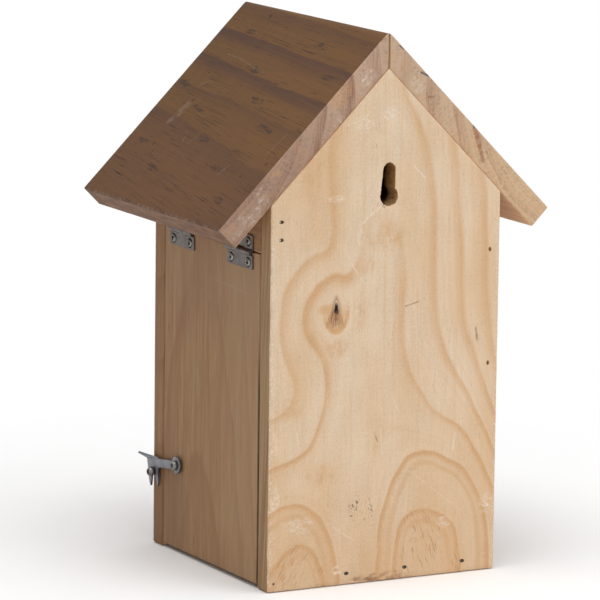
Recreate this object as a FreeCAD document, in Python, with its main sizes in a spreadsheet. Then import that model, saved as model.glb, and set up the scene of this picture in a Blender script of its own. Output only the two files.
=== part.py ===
import FreeCAD, Part
import math
import os
import Sketcher

# A wooden bird nest box with an apex roof and a side door that swings up on two butt hinges.
# Millimetres. X runs across the box towards the door, Y towards the wall it hangs on, Z up.
# The origin lies under the middle of the whole box, on the surface that the box stands on.

SIZES = {
    # Boards of the body
    "body_width": 140.0,
    "body_depth": 138.0,
    "wall_height": 209.0,
    "board_thickness": 12.0,
    "arris_radius": 0.8,
    # Roof boards, mitred at the ridge
    "roof_angle": 45.0,
    "roof_thickness": 14.0,
    "roof_slope": 128.5,
    "roof_front_overhang": 28.0,
    "roof_back_setback": 1.0,
    # Entrance hole in the front, keyhole hanger in the back, drain holes in the floor
    "entrance_diameter": 32.0,
    "entrance_height": 150.0,
    "keyhole_round_diameter": 10.8,
    "keyhole_slot_width": 6.8,
    "keyhole_drop": 68.5,
    "keyhole_rise": 14.5,
    "drain_diameter": 6.0,
    "drain_inset": 26.0,
    # Gaps around the door
    "door_side_gap": 1.5,
    "door_bottom_gap": 2.0,
    "door_floor_gap": 0.3,
    # Butt hinges between the fixed header and the door
    "hinge_drop": 27.5,
    "hinge_gap": 1.6,
    "hinge_inset": 22.6,
    "hinge_length": 29.0,
    "leaf_height": 9.3,
    "leaf_thickness": 0.9,
    "leaf_corner_radius": 0.6,
    "knuckle_radius": 1.5,
    "knuckle_length": 9.6,
    "knuckle_wood_gap": 0.1,
    "knuckle_side_play": 0.25,
    "knuckle_notch_play": 0.45,
    "hinge_pin_radius": 0.75,
    "hinge_pin_clearance": 0.05,
    # Countersunk screws of the hinge leaves
    "leaf_screw_spread": 19.6,
    "leaf_screw_offset": 5.6,
    "leaf_screw_head_diameter": 4.6,
    "leaf_screw_shank_diameter": 2.4,
    "leaf_screw_length": 9.5,
    "leaf_screw_dome": 0.5,
    "leaf_screw_crown_diameter": 2.8,
    # Forked swing latch, its washer and its two round-head screws
    "keeper_from_front": 4.2,
    "keeper_height": 41.0,
    "hook_angle": 7.5,
    "hook_thickness": 1.2,
    "hook_play": 0.15,
    "hook_eye_radius": 4.75,
    "hook_arm_width": 4.8,
    "hook_slot_reach": 28.75,
    "hook_slot_drop": 5.0,
    "hook_slot_radius": 1.6,
    "hook_prong_width": 4.0,
    "hook_prong_length": 8.0,
    "hook_mouth_flare": 3.0,
    "hook_inner_fillet": 2.2,
    "thumb_tab_start": 21.0,
    "thumb_tab_tip": 3.4,
    "thumb_tab_width": 5.2,
    "thumb_tab_middle_width": 2.6,
    "thumb_tab_end_width": 4.2,
    "thumb_tab_end_slant": 1.6,
    "thumb_tab_angle": 54.0,
    "washer_diameter": 6.4,
    "washer_thickness": 1.0,
    "latch_screw_head_diameter": 5.3,
    "latch_screw_head_height": 2.4,
    "latch_screw_edge_height": 1.1,
    "latch_screw_bevel_diameter": 4.5,
    "latch_screw_crown_diameter": 2.6,
    "latch_screw_neck_diameter": 2.8,
    "latch_screw_length": 9.5,
    "latch_running_clearance": 0.05,
    "keeper_head_play": 0.45,
    # Cross recess in every screw head
    "recess_width": 0.8,
    "recess_length": 2.6,
    "recess_depth": 0.9,
    # Wire nails, all of one kind
    "nail_length": 32.0,
    "nail_head_diameter": 2.6,
    "nail_head_height": 0.7,
    "nail_shank_diameter": 1.5,
    "nail_set": 0.15,
    "bed_clearance": 0.02,
    # Rows of nails
    "floor_nail_fixed_inset": 20.0,
    "floor_nail_door_inset": 48.0,
    "side_nail_bottom_inset": 52.4,
    "side_nail_top_inset": 31.4,
    "header_nail_rise": 8.5,
    "header_nail_pitch": 9.6,
    "floor_side_nail_inset": 29.0,
    "roof_nail_inset": 24.5,
    "ridge_nail_inset": 39.0,
}

UPWARDS = 1
DOWNWARDS = -1
ON_DOOR_SIDE = 1
ON_FIXED_SIDE = -1
SAME_PLACE = 1e-3
ALONG_BACK = FreeCAD.Rotation(FreeCAD.Vector(1, 0, 0), -90)
ALONG_FRONT = FreeCAD.Rotation(FreeCAD.Vector(1, 0, 0), 90)
ALONG_DOOR = FreeCAD.Rotation(FreeCAD.Vector(0, 1, 0), 90)
ALONG_FIXED_SIDE = FreeCAD.Rotation(FreeCAD.Vector(0, 1, 0), -90)

doc = FreeCAD.newDocument("NestBox")
sheet = doc.addObject("Spreadsheet::Sheet", "Sizes")
for row, (alias, number) in enumerate(SIZES.items(), 1):
    sheet.set(f"A{row}", alias)
    sheet.set(f"B{row}", str(number))
    sheet.setAlias(f"B{row}", alias)
doc.recompute()


class Measure:
    """A length or angle: its number now, and the sheet expression that keeps it bound."""

    def __init__(self, value, text):
        self.value = value
        self.text = text

    def __add__(self, other):
        other = as_measure(other)
        return Measure(self.value + other.value, f"({self.text} + {other.text})")

    def __radd__(self, other):
        return as_measure(other) + self

    def __sub__(self, other):
        other = as_measure(other)
        return Measure(self.value - other.value, f"({self.text} - {other.text})")

    def __rsub__(self, other):
        return as_measure(other) - self

    def __mul__(self, other):
        other = as_measure(other)
        return Measure(self.value * other.value, f"({self.text} * {other.text})")

    def __rmul__(self, other):
        return as_measure(other) * self

    def __truediv__(self, other):
        other = as_measure(other)
        return Measure(self.value / other.value, f"({self.text} / {other.text})")

    def __neg__(self):
        return Measure(-self.value, f"(0 - {self.text})")


def as_measure(thing):
    """Takes a plain number as a measure that nothing changes."""
    if isinstance(thing, Measure):
        return thing
    return Measure(float(thing), f"({float(thing)})")


def size(alias):
    """Reads one driving dimension from the sheet."""
    return Measure(float(sheet.get(alias)), f"Sizes.{alias}")


def sine(angle):
    return Measure(math.sin(math.radians(angle.value)), f"sin({angle.text})")


def cosine(angle):
    return Measure(math.cos(math.radians(angle.value)), f"cos({angle.text})")


def tangent(angle):
    return Measure(math.tan(math.radians(angle.value)), f"tan({angle.text})")


# Places that several boards share
half_width = size("body_width") / 2
inner_half = half_width - size("board_thickness")
back_y = (size("body_depth") + size("roof_front_overhang")) / 2
front_y = back_y - size("body_depth")
inner_back_y = back_y - size("board_thickness")
inner_front_y = front_y + size("board_thickness")
inner_depth = inner_back_y - inner_front_y
middle_y = (back_y + front_y) / 2
pitch = size("roof_angle")
gable_top = size("wall_height") + half_width * tangent(pitch)
inner_wall_top = size("wall_height") + size("board_thickness") * tangent(pitch)
ridge_top = gable_top + size("roof_thickness") / cosine(pitch)
roof_length = size("body_depth") + size("roof_front_overhang") - size("roof_back_setback")
hinge_height = size("wall_height") - size("hinge_drop")
hinge_spacing = inner_depth - 2 * size("hinge_inset")
header_bottom = hinge_height + size("hinge_gap") / 2
door_top = hinge_height - size("hinge_gap") / 2
hinge_axis_x = half_width + size("knuckle_wood_gap") + size("knuckle_radius")
hook_back_x = half_width + size("washer_thickness") + size("hook_play")
hook_front_x = hook_back_x + size("hook_thickness")
keeper_y = front_y + size("keeper_from_front")
droop = size("hook_angle")
slot_reach = size("hook_slot_reach")
slot_drop = size("hook_slot_drop")
pivot_y = keeper_y + slot_reach * cosine(droop) - slot_drop * sine(droop)
pivot_z = size("keeper_height") + slot_reach * sine(droop) + slot_drop * cosine(droop)


def bind(thing, path, measure):
    """Ties a property to the sheet."""
    thing.setExpression(path, as_measure(measure).text)


def place(thing, x=0, y=0, z=0, rotation=None):
    """Puts a sub-part where the sheet says, turned first."""
    thing.Placement = FreeCAD.Placement(FreeCAD.Vector(0, 0, 0), rotation or FreeCAD.Rotation())
    for axis, measure in zip("xyz", (x, y, z)):
        bind(thing, f".Placement.Base.{axis}", measure)
    return thing


def new_body(label):
    body = doc.addObject("PartDesign::Body", label)
    body.Label = label
    return body


def origin_feature(body, role):
    return next(feature for feature in body.Origin.OriginFeatures if feature.Role == role)


def new_sketch(body, name, role):
    """Starts a sketch on one of the body's own origin planes."""
    sketch = body.newObject("Sketcher::SketchObject", name)
    sketch.AttachmentSupport = [(origin_feature(body, role), "")]
    sketch.MapMode = "FlatFace"
    return sketch


def hold(sketch, kind, geometry, point, measure):
    """Holds a point of the sketch at a signed distance from the sketch's origin."""
    measure = as_measure(measure)
    rule = Sketcher.Constraint(kind, -1, 1, geometry, point, measure.value)
    sketch.setExpression(f"Constraints[{sketch.addConstraint(rule)}]", measure.text)


def closed_outline(body, name, role, corners):
    """Draws straight lines through the corners, each corner held from the origin."""
    sketch = new_sketch(body, name, role)
    corners = [(as_measure(across), as_measure(up)) for across, up in corners]
    points = [FreeCAD.Vector(across.value, up.value, 0) for across, up in corners]
    for here, there in zip(points, points[1:] + points[:1]):
        sketch.addGeometry(Part.LineSegment(here, there), False)
    for line in range(len(points)):
        after = (line + 1) % len(points)
        sketch.addConstraint(Sketcher.Constraint("Coincident", line, 2, after, 1))
    for line, (across, up) in enumerate(corners):
        hold(sketch, "DistanceX", line, 1, across)
        hold(sketch, "DistanceY", line, 1, up)
    return sketch


def circles(body, name, role, radius, centres):
    """Draws equal circles about the given centres."""
    sketch = new_sketch(body, name, role)
    radius = as_measure(radius)
    for across, up in centres:
        across = as_measure(across)
        up = as_measure(up)
        centre = FreeCAD.Vector(across.value, up.value, 0)
        upright = FreeCAD.Vector(0, 0, 1)
        circle = sketch.addGeometry(Part.Circle(centre, upright, radius.value), False)
        hold(sketch, "DistanceX", circle, 3, across)
        hold(sketch, "DistanceY", circle, 3, up)
        rule = sketch.addConstraint(Sketcher.Constraint("Radius", circle, radius.value))
        sketch.setExpression(f"Constraints[{rule}]", radius.text)
    return sketch


def pad(body, name, sketch, length, side="One side", backwards=False):
    """Raises the sketch into a solid."""
    feature = body.newObject("PartDesign::Pad", name)
    feature.Profile = sketch
    feature.SideType = side
    feature.Reversed = backwards
    bind(feature, "Length", length)
    doc.recompute()
    return feature


def pocket(body, name, sketch):
    """Cuts the sketch right through, both ways, and makes sure that it took wood or metal away."""
    before = body.Shape.Volume
    feature = body.newObject("PartDesign::Pocket", name)
    feature.Profile = sketch
    feature.SideType = "Symmetric"
    feature.Type = "ThroughAll"
    doc.recompute()
    if body.Shape.Volume >= before:
        raise ValueError(f"{body.Label}: {name} cut nothing")
    return feature


def turn(body, name, sketch):
    """Spins the sketch about its upright axis."""
    feature = body.newObject("PartDesign::Revolution", name)
    feature.Profile = sketch
    feature.ReferenceAxis = (sketch, ["V_Axis"])
    feature.Angle = 360
    doc.recompute()
    return feature


def ease_edges(body, feature):
    """Rounds every arris of a board."""
    fillet = body.newObject("PartDesign::Fillet", "Arris")
    fillet.Base = (feature, [""])
    fillet.UseAllEdges = True
    bind(fillet, "Radius", size("arris_radius"))
    doc.recompute()
    return fillet


def round_corners(body, radius, corners):
    """Rounds the corners of a flat piece: the edges square to its face at the given places."""
    feature = body.Tip
    spots = [(as_measure(across).value, as_measure(up).value) for across, up in corners]
    edges = []
    for number, edge in enumerate(feature.Shape.Edges, 1):
        middle = edge.CenterOfMass
        is_square = edge.BoundBox.YLength + edge.BoundBox.ZLength < SAME_PLACE
        if is_square and any(math.dist(spot, (middle.y, middle.z)) < SAME_PLACE for spot in spots):
            edges.append(f"Edge{number}")
    if len(edges) != len(spots):
        raise ValueError(f"{body.Label}: {len(edges)} of {len(spots)} corners found")
    fillet = body.newObject("PartDesign::Fillet", "Corners")
    fillet.Base = (feature, edges)
    bind(fillet, "Radius", radius)
    doc.recompute()


def row_of(body, features, role, count, spacing, backwards=False):
    """Repeats features along one of the body's own axes."""
    pattern = body.newObject("PartDesign::LinearPattern", "Row")
    pattern.Originals = features
    pattern.Direction = (origin_feature(body, role), [""])
    pattern.Reversed = backwards
    pattern.Mode = "Spacing"
    pattern.Occurrences = count
    bind(pattern, "Offset", spacing)
    body.Tip = pattern
    doc.recompute()
    return pattern


def second_row(pattern, body, role, count, spacing):
    """Repeats a row along a second axis, which may be the same one."""
    pattern.Direction2 = (origin_feature(body, role), [""])
    pattern.Mode2 = "Spacing"
    pattern.Occurrences2 = count
    bind(pattern, "Offset2", spacing)
    doc.recompute()


def gather(label, members):
    """Keeps separate solids together in one sub-part."""
    group = doc.addObject("Part::Compound", label)
    group.Label = label
    group.Links = members
    return group


def drilled(label, blank, beds):
    """Cuts the beds of nails and screws out of a blank."""
    part = doc.addObject("Part::Cut", label)
    part.Label = label
    part.Base = blank
    part.Tool = gather(f"{label}_beds", beds) if len(beds) > 1 else beds[0]
    return part


# Wire nails: each row is made twice, as the nails and as the slightly wider beds they sit in

def nail_profile(body, extra, top):
    """Half a nail: a flat head sunk below the surface, a straight shank and a short point."""
    head = size("nail_head_diameter") / 2 + extra
    shank = size("nail_shank_diameter") / 2 + extra
    under_head = -(size("nail_set") + size("nail_head_height")) - extra
    end = -size("nail_length") - extra
    point = end + size("nail_shank_diameter")
    corners = [(0, top), (head, top), (head, under_head), (shank, under_head), (shank, point), (0, end)]
    return closed_outline(body, "NailProfile", "XZ_Plane", corners)


def nail_row(label, count, role, spacing, as_bed, backwards=False):
    """A row of nails with their heads up, or of the beds that they leave in the wood."""
    body = new_body(f"{label}_bed" if as_bed else label)
    extra = size("bed_clearance") if as_bed else as_measure(0)
    top = size("nail_head_height") if as_bed else -size("nail_set")
    nail = turn(body, "Nail", nail_profile(body, extra, top))
    row_of(body, [nail], role, count, spacing, backwards)
    return body


def nails_and_beds(label, count, role, spacing, backwards=False, **where):
    """Both forms of a row, in the same place."""
    nails = place(nail_row(label, count, role, spacing, False, backwards), **where)
    beds = place(nail_row(label, count, role, spacing, True, backwards), **where)
    return nails, beds


def panel_nails(side, face_y, rotation, upwards_is_reversed):
    """The rows that hold one gable panel: into the floor, the fixed side and the door header."""
    middle = size("board_thickness") / 2
    floor_insets = size("floor_nail_fixed_inset") + size("floor_nail_door_inset")
    floor_spacing = (size("body_width") - floor_insets) / 2
    side_insets = size("side_nail_bottom_inset") + size("side_nail_top_inset")
    side_spacing = (size("wall_height") - side_insets) / 2
    floor = nails_and_beds(
        f"{side}_floor_nails", 3, "X_Axis", floor_spacing,
        x=size("floor_nail_fixed_inset") - half_width, y=face_y, z=middle, rotation=rotation)
    fixed = nails_and_beds(
        f"{side}_fixed_side_row", 3, "Y_Axis", side_spacing, upwards_is_reversed,
        x=middle - half_width, y=face_y, z=size("side_nail_bottom_inset"), rotation=rotation)
    header = nails_and_beds(
        f"{side}_header_nails", 2, "Y_Axis", size("header_nail_pitch"), upwards_is_reversed,
        x=half_width - middle, y=face_y, z=header_bottom + size("header_nail_rise"), rotation=rotation)
    return floor, fixed, header


def stand_on_slope(body, side, from_ridge, y):
    """Stands a row of nails square on one slope of the roof, at a distance down from the ridge."""
    lean = FreeCAD.Rotation(FreeCAD.Vector(0, side, 0), pitch.value)
    x = side * from_ridge * cosine(pitch)
    z = ridge_top - from_ridge * sine(pitch)
    place(body, x, y, z, rotation=lean)
    bind(body, ".Placement.Rotation.Angle", pitch)
    return body


def slope_nails(label, side):
    """Four nails square through one roof board into the sloping edges of the gable panels."""
    inset = size("roof_nail_inset")
    from_ridge = inset + size("roof_thickness") * tangent(pitch)
    spacing = half_width / cosine(pitch) - 2 * inset
    bodies = []
    for as_bed in (False, True):
        body = nail_row(label, 2, "X_Axis", spacing, as_bed, side == ON_FIXED_SIDE)
        second_row(body.Tip, body, "Y_Axis", 2, size("body_depth") - size("board_thickness"))
        bodies.append(stand_on_slope(body, side, from_ridge, front_y + size("board_thickness") / 2))
    return bodies


def ridge_nails(label):
    """Three nails through the door-side roof board into the mitred end of the other one."""
    spacing = (roof_length - 2 * size("ridge_nail_inset")) / 2
    from_ridge = size("roof_thickness") * tangent(pitch) / 2
    first_y = back_y - size("roof_back_setback") - roof_length + size("ridge_nail_inset")
    return [
        stand_on_slope(nail_row(label, 3, "Y_Axis", spacing, as_bed), ON_DOOR_SIDE, from_ridge, first_y)
        for as_bed in (False, True)
    ]


# Screws, each with its head up

def cross_recess(body, top):
    """Cuts the two crossing slots of a driver recess into the head."""
    half = size("recess_width") / 2
    reach = size("recess_length") / 2
    floor = top - size("recess_depth")
    above = top + size("recess_depth")
    corners = [(-reach, above), (-reach, top), (-half, floor), (half, floor), (reach, top), (reach, above)]
    for name, role in (("RecessAcross", "XZ_Plane"), ("RecessAlong", "YZ_Plane")):
        slot = body.newObject("PartDesign::Pocket", name)
        slot.Profile = closed_outline(body, f"{name}Outline", role, corners)
        slot.SideType = "Symmetric"
        bind(slot, "Length", size("recess_width"))
        doc.recompute()


def countersunk_screw(label, as_bed):
    """A countersunk screw with a low domed head; its top edge lies level with the leaf."""
    body = new_body(f"{label}_bed" if as_bed else label)
    extra = size("bed_clearance") if as_bed else as_measure(0)
    head = size("leaf_screw_head_diameter") / 2 + extra
    shank = size("leaf_screw_shank_diameter") / 2 + extra
    neck = shank - head
    end = -size("leaf_screw_length") - extra
    dome = size("leaf_screw_dome")
    crown = size("leaf_screw_crown_diameter") / 2
    corners = [(0, dome), (crown, dome), (head, 0), (shank, neck), (shank, end + shank), (0, end)]
    if as_bed:
        corners[:2] = [(0, dome), (head, dome)]
    turn(body, "Screw", closed_outline(body, "ScrewProfile", "XZ_Plane", corners))
    if not as_bed:
        cross_recess(body, dome)
    return body


def leaf_screws(label, height):
    """Two screws in each of two hinge leaves, and the beds they sit in."""
    made = []
    first_y = middle_y - (hinge_spacing + size("leaf_screw_spread")) / 2
    for as_bed in (False, True):
        body = countersunk_screw(label, as_bed)
        features = [feature for feature in body.Group if feature.isDerivedFrom("PartDesign::Feature")]
        pattern = row_of(body, features, "Y_Axis", 2, size("leaf_screw_spread"))
        second_row(pattern, body, "Y_Axis", 2, hinge_spacing)
        place(body, x=half_width + size("leaf_thickness"), y=first_y, z=height, rotation=ALONG_DOOR)
        made.append(body)
    return made


def round_head_screw(label, as_bed, neck_length):
    """A round-head screw whose head stands clear of the wood on a smooth neck."""
    body = new_body(f"{label}_bed" if as_bed else label)
    extra = size("bed_clearance") if as_bed else as_measure(0)
    head = size("latch_screw_head_diameter") / 2
    neck = size("latch_screw_neck_diameter") / 2 + extra
    end = -size("latch_screw_length") - extra
    top = neck_length + size("latch_screw_head_height")
    edge = neck_length + size("latch_screw_edge_height")
    bevel = size("latch_screw_bevel_diameter") / 2
    crown = size("latch_screw_crown_diameter") / 2
    if as_bed:
        corners = [(0, neck_length), (neck, neck_length), (neck, end + neck), (0, end)]
    else:
        corners = [
            (0, top), (crown, top), (bevel, (top + edge) / 2), (head, edge), (head, neck_length),
            (neck, neck_length), (neck, end + neck), (0, end)]
    turn(body, "Screw", closed_outline(body, "ScrewProfile", "XZ_Plane", corners))
    if not as_bed:
        cross_recess(body, top)
    return body


# Boards

def gable_blank(label):
    """A five-sided panel under the roof, with its outer face on the sketch plane."""
    body = new_body(label)
    corners = [
        (half_width, 0), (half_width, size("wall_height")), (0, gable_top),
        (-half_width, size("wall_height")), (-half_width, 0)]
    outline = closed_outline(body, "Gable", "XZ_Plane", corners)
    ease_edges(body, pad(body, "Board", outline, size("board_thickness")))
    return body


def back_panel_blank():
    """The panel against the wall, with its keyhole: a round mouth with a narrow slot above it."""
    body = gable_blank("back_panel_blank")
    low = gable_top - size("keyhole_drop")
    high = low + size("keyhole_rise")
    mouth = size("keyhole_round_diameter") / 2
    half_slot = size("keyhole_slot_width") / 2
    pocket(body, "KeyholeMouth", circles(body, "Mouth", "XZ_Plane", mouth, [(0, low)]))
    sides = [(-half_slot, low), (half_slot, low), (half_slot, high), (-half_slot, high)]
    pocket(body, "KeyholeSlot", closed_outline(body, "Slot", "XZ_Plane", sides))
    pocket(body, "KeyholeEnd", circles(body, "End", "XZ_Plane", half_slot, [(0, high)]))
    return place(body, y=back_y)


def front_panel_blank():
    """The panel with the round entrance hole."""
    body = gable_blank("front_panel_blank")
    radius = size("entrance_diameter") / 2
    hole = circles(body, "Entrance", "XZ_Plane", radius, [(0, size("entrance_height"))])
    pocket(body, "EntranceHole", hole)
    return place(body, y=inner_front_y)


def side_blank(label, corners, length):
    """A board between the gable panels: its section seen from the back, run along the depth."""
    body = new_body(label)
    board = pad(body, "Board", closed_outline(body, "Section", "XZ_Plane", corners), length, "Symmetric")
    ease_edges(body, board)
    return place(body, y=middle_y)


def fixed_side_blank():
    """The fixed side, bevelled on top to the roof's pitch."""
    corners = [
        (-half_width, 0), (-inner_half, 0), (-inner_half, inner_wall_top),
        (-half_width, size("wall_height"))]
    return side_blank("fixed_side_blank", corners, inner_depth)


def header_blank():
    """The fixed strip above the door, bevelled on top to the roof's pitch."""
    corners = [
        (half_width, header_bottom), (half_width, size("wall_height")), (inner_half, inner_wall_top),
        (inner_half, header_bottom)]
    return side_blank("header_blank", corners, inner_depth)


def door_blank():
    """The door board, clear of the panels at both ends."""
    low = size("door_bottom_gap")
    corners = [(inner_half, low), (half_width, low), (half_width, door_top), (inner_half, door_top)]
    return side_blank("door_blank", corners, inner_depth - 2 * size("door_side_gap"))


def floor_blank():
    """The floor between the panels, with four drain holes; the door shuts against its edge."""
    door_edge = inner_half - size("door_floor_gap")
    corners = [(-inner_half, 0), (door_edge, 0), (door_edge, size("board_thickness")),
               (-inner_half, size("board_thickness"))]
    body = side_blank("floor_blank", corners, inner_depth)
    out = inner_half - size("drain_inset")
    along = inner_depth / 2 - size("drain_inset")
    centres = [(out, along), (-out, along), (-out, -along), (out, -along)]
    pocket(body, "DrainHoles", circles(body, "Drains", "XY_Plane", size("drain_diameter") / 2, centres))
    return body


def roof_blank(label, side):
    """A roof board: mitred upright at the ridge, cut square at the eave."""
    body = new_body(label)
    eave_x = size("roof_slope") * cosine(pitch)
    eave_z = gable_top - size("roof_slope") * sine(pitch)
    outer_x = eave_x + size("roof_thickness") * sine(pitch)
    outer_z = eave_z + size("roof_thickness") * cosine(pitch)
    corners = [(0, gable_top), (side * eave_x, eave_z), (side * outer_x, outer_z), (0, ridge_top)]
    section = closed_outline(body, "Section", "XZ_Plane", corners)
    ease_edges(body, pad(body, "Board", section, roof_length))
    return place(body, y=back_y - size("roof_back_setback"))


# Hinges

def leaf_blank(label, direction):
    """A flat leaf on the wood with the whole barrel along its edge, bored for the pin."""
    body = new_body(label)
    barrel_x = size("knuckle_wood_gap") + size("knuckle_radius")
    edge = direction * size("leaf_height")
    plate = [(0, 0), (size("leaf_thickness"), 0), (size("leaf_thickness"), edge), (0, edge)]
    length = size("hinge_length")
    pad(body, "Plate", closed_outline(body, "PlateSection", "XZ_Plane", plate), length, "Symmetric")
    round_corners(body, size("leaf_corner_radius"), [(-length / 2, edge), (length / 2, edge)])
    barrel = circles(body, "BarrelSection", "XZ_Plane", size("knuckle_radius"), [(barrel_x, 0)])
    pad(body, "Barrel", barrel, length, "Symmetric")
    return body, barrel_x


def notch(body, name, low_y, high_y, direction):
    """Takes a knuckle out of the barrel, with room for the other leaf's knuckle."""
    clear = size("knuckle_radius") + size("knuckle_notch_play")
    low_z = -direction * clear
    high_z = direction * clear
    corners = [(low_y, low_z), (high_y, low_z), (high_y, high_z), (low_y, high_z)]
    pocket(body, name, closed_outline(body, f"{name}Outline", "YZ_Plane", corners))


def hinge_leaf(label, direction, is_fixed):
    """One leaf: the fixed one keeps the two end knuckles, the door's keeps the middle one."""
    body, barrel_x = leaf_blank(label, direction)
    half_knuckle = size("knuckle_length") / 2
    play = size("knuckle_side_play")
    past_end = size("hinge_length") / 2 + play
    if is_fixed:
        notch(body, "MiddleNotch", -half_knuckle - play, half_knuckle + play, direction)
        bore = size("hinge_pin_radius")
    else:
        notch(body, "FrontNotch", -past_end, -half_knuckle, direction)
        notch(body, "BackNotch", half_knuckle, past_end, direction)
        bore = size("hinge_pin_radius") + size("hinge_pin_clearance")
    pocket(body, "PinBore", circles(body, "Bore", "XZ_Plane", bore, [(barrel_x, 0)]))
    return body


def hinge_pin(label, y):
    """The pin through all three knuckles."""
    body = new_body(label)
    section = circles(body, "Section", "XZ_Plane", size("hinge_pin_radius"), [(0, 0)])
    pad(body, "Pin", section, size("hinge_length"), "Symmetric")
    return place(body, x=hinge_axis_x, y=y, z=hinge_height)


def hinge(position, y, header_beds, door_beds):
    """Two leaves, drilled for their screws, and a pin."""
    fixed = hinge_leaf(f"{position}_hinge_fixed_leaf_blank", UPWARDS, True)
    moving = hinge_leaf(f"{position}_hinge_door_leaf_blank", DOWNWARDS, False)
    for leaf in (fixed, moving):
        place(leaf, x=half_width, y=y, z=hinge_height)
    return [
        drilled(f"{position}_hinge_fixed_leaf", fixed, [header_beds]),
        drilled(f"{position}_hinge_door_leaf", moving, [door_beds]),
        hinge_pin(f"{position}_hinge_pin", y),
    ]


# Latch

def hook_flat(body):
    """The flat of the hook about its pivot: an arm that ends in a fork, open below."""
    half_arm = size("hook_arm_width") / 2
    slot = size("hook_slot_radius")
    centre = slot_reach
    seat = -slot_drop
    outer = centre + slot + size("hook_prong_width")
    inner = centre - slot - size("hook_prong_width")
    tip = seat - size("hook_prong_length")
    flare = size("hook_mouth_flare")
    arm = [(outer, half_arm), (0, half_arm), (0, -half_arm), (inner, -half_arm)]
    inner_prong = [(inner, tip + flare), (centre - slot - flare, tip), (centre - slot, seat)]
    outer_prong = [
        (centre + slot, seat), (centre + slot, seat - slot), (centre + slot + flare, tip),
        (outer, tip + flare)]
    corners = arm + inner_prong + outer_prong
    outline = closed_outline(body, "HookOutline", "YZ_Plane", [(-reach, rise) for reach, rise in corners])
    pad(body, "Flat", outline, size("hook_thickness"))
    round_corners(body, size("hook_inner_fillet"), [(-inner, -half_arm)])
    return outer, half_arm


def thumb_tab(body, outer, half_arm):
    """A tab bent out of the flat's top edge, wider and further out towards the fork's end."""
    width = size("thumb_tab_width")
    start = size("thumb_tab_start")
    tip = outer + size("thumb_tab_tip")
    corners = [
        (start, 0), (outer, 0), (tip, size("thumb_tab_end_width")),
        (tip - size("thumb_tab_end_slant"), width), ((start + tip) / 2, size("thumb_tab_middle_width"))]
    sketch = closed_outline(body, "TabOutline", "YZ_Plane", [(-reach, rise) for reach, rise in corners])
    tilt = FreeCAD.Rotation(FreeCAD.Vector(1, 0, 0), size("thumb_tab_angle").value)
    sketch.AttachmentOffset = FreeCAD.Placement(FreeCAD.Vector(0, half_arm.value, 0), tilt)
    bind(sketch, ".AttachmentOffset.Base.y", half_arm)
    bind(sketch, ".AttachmentOffset.Rotation.Angle", size("thumb_tab_angle"))
    pad(body, "ThumbTab", sketch, size("hook_thickness"))


def latch_hook():
    """The forked hook: eye, arm, fork with a round seat, and a thumb tab tilted outwards."""
    body = new_body("latch_hook")
    outer, half_arm = hook_flat(body)
    eye = circles(body, "EyeOutline", "YZ_Plane", size("hook_eye_radius"), [(0, 0)])
    pad(body, "Eye", eye, size("hook_thickness"))
    thumb_tab(body, outer, half_arm)
    seat = [(-slot_reach, -slot_drop)]
    pocket(body, "ForkSeat", circles(body, "Seat", "YZ_Plane", size("hook_slot_radius"), seat))
    bore = size("latch_screw_neck_diameter") / 2 + size("latch_running_clearance")
    pocket(body, "PivotHole", circles(body, "Pivot", "YZ_Plane", bore, [(0, 0)]))
    turned = FreeCAD.Rotation(FreeCAD.Vector(1, 0, 0), droop.value)
    place(body, x=hook_back_x, y=pivot_y, z=pivot_z, rotation=turned)
    bind(body, ".Placement.Rotation.Angle", droop)
    return body


def latch_washer():
    """The plain washer that holds the hook off the door."""
    body = new_body("latch_washer")
    disc = circles(body, "Rim", "YZ_Plane", size("washer_diameter") / 2, [(0, 0)])
    pad(body, "Disc", disc, size("washer_thickness"))
    bore = size("latch_screw_neck_diameter") / 2 + size("bed_clearance")
    pocket(body, "Hole", circles(body, "HoleOutline", "YZ_Plane", bore, [(0, 0)]))
    return place(body, x=half_width, y=pivot_y, z=pivot_z)


def latch_screws():
    """The pivot screw in the door and the keeper screw in the front panel's edge."""
    pivot_neck = hook_front_x - half_width + size("hook_play")
    keeper_neck = hook_front_x - half_width + size("keeper_head_play")
    pivot = [round_head_screw("latch_pivot_screw", as_bed, pivot_neck) for as_bed in (False, True)]
    keeper = [round_head_screw("latch_keeper_screw", as_bed, keeper_neck) for as_bed in (False, True)]
    for body in pivot:
        place(body, x=half_width, y=pivot_y, z=pivot_z, rotation=ALONG_DOOR)
    for body in keeper:
        place(body, x=half_width, y=keeper_y, z=size("keeper_height"), rotation=ALONG_DOOR)
    return pivot, keeper


# The whole box

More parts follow.
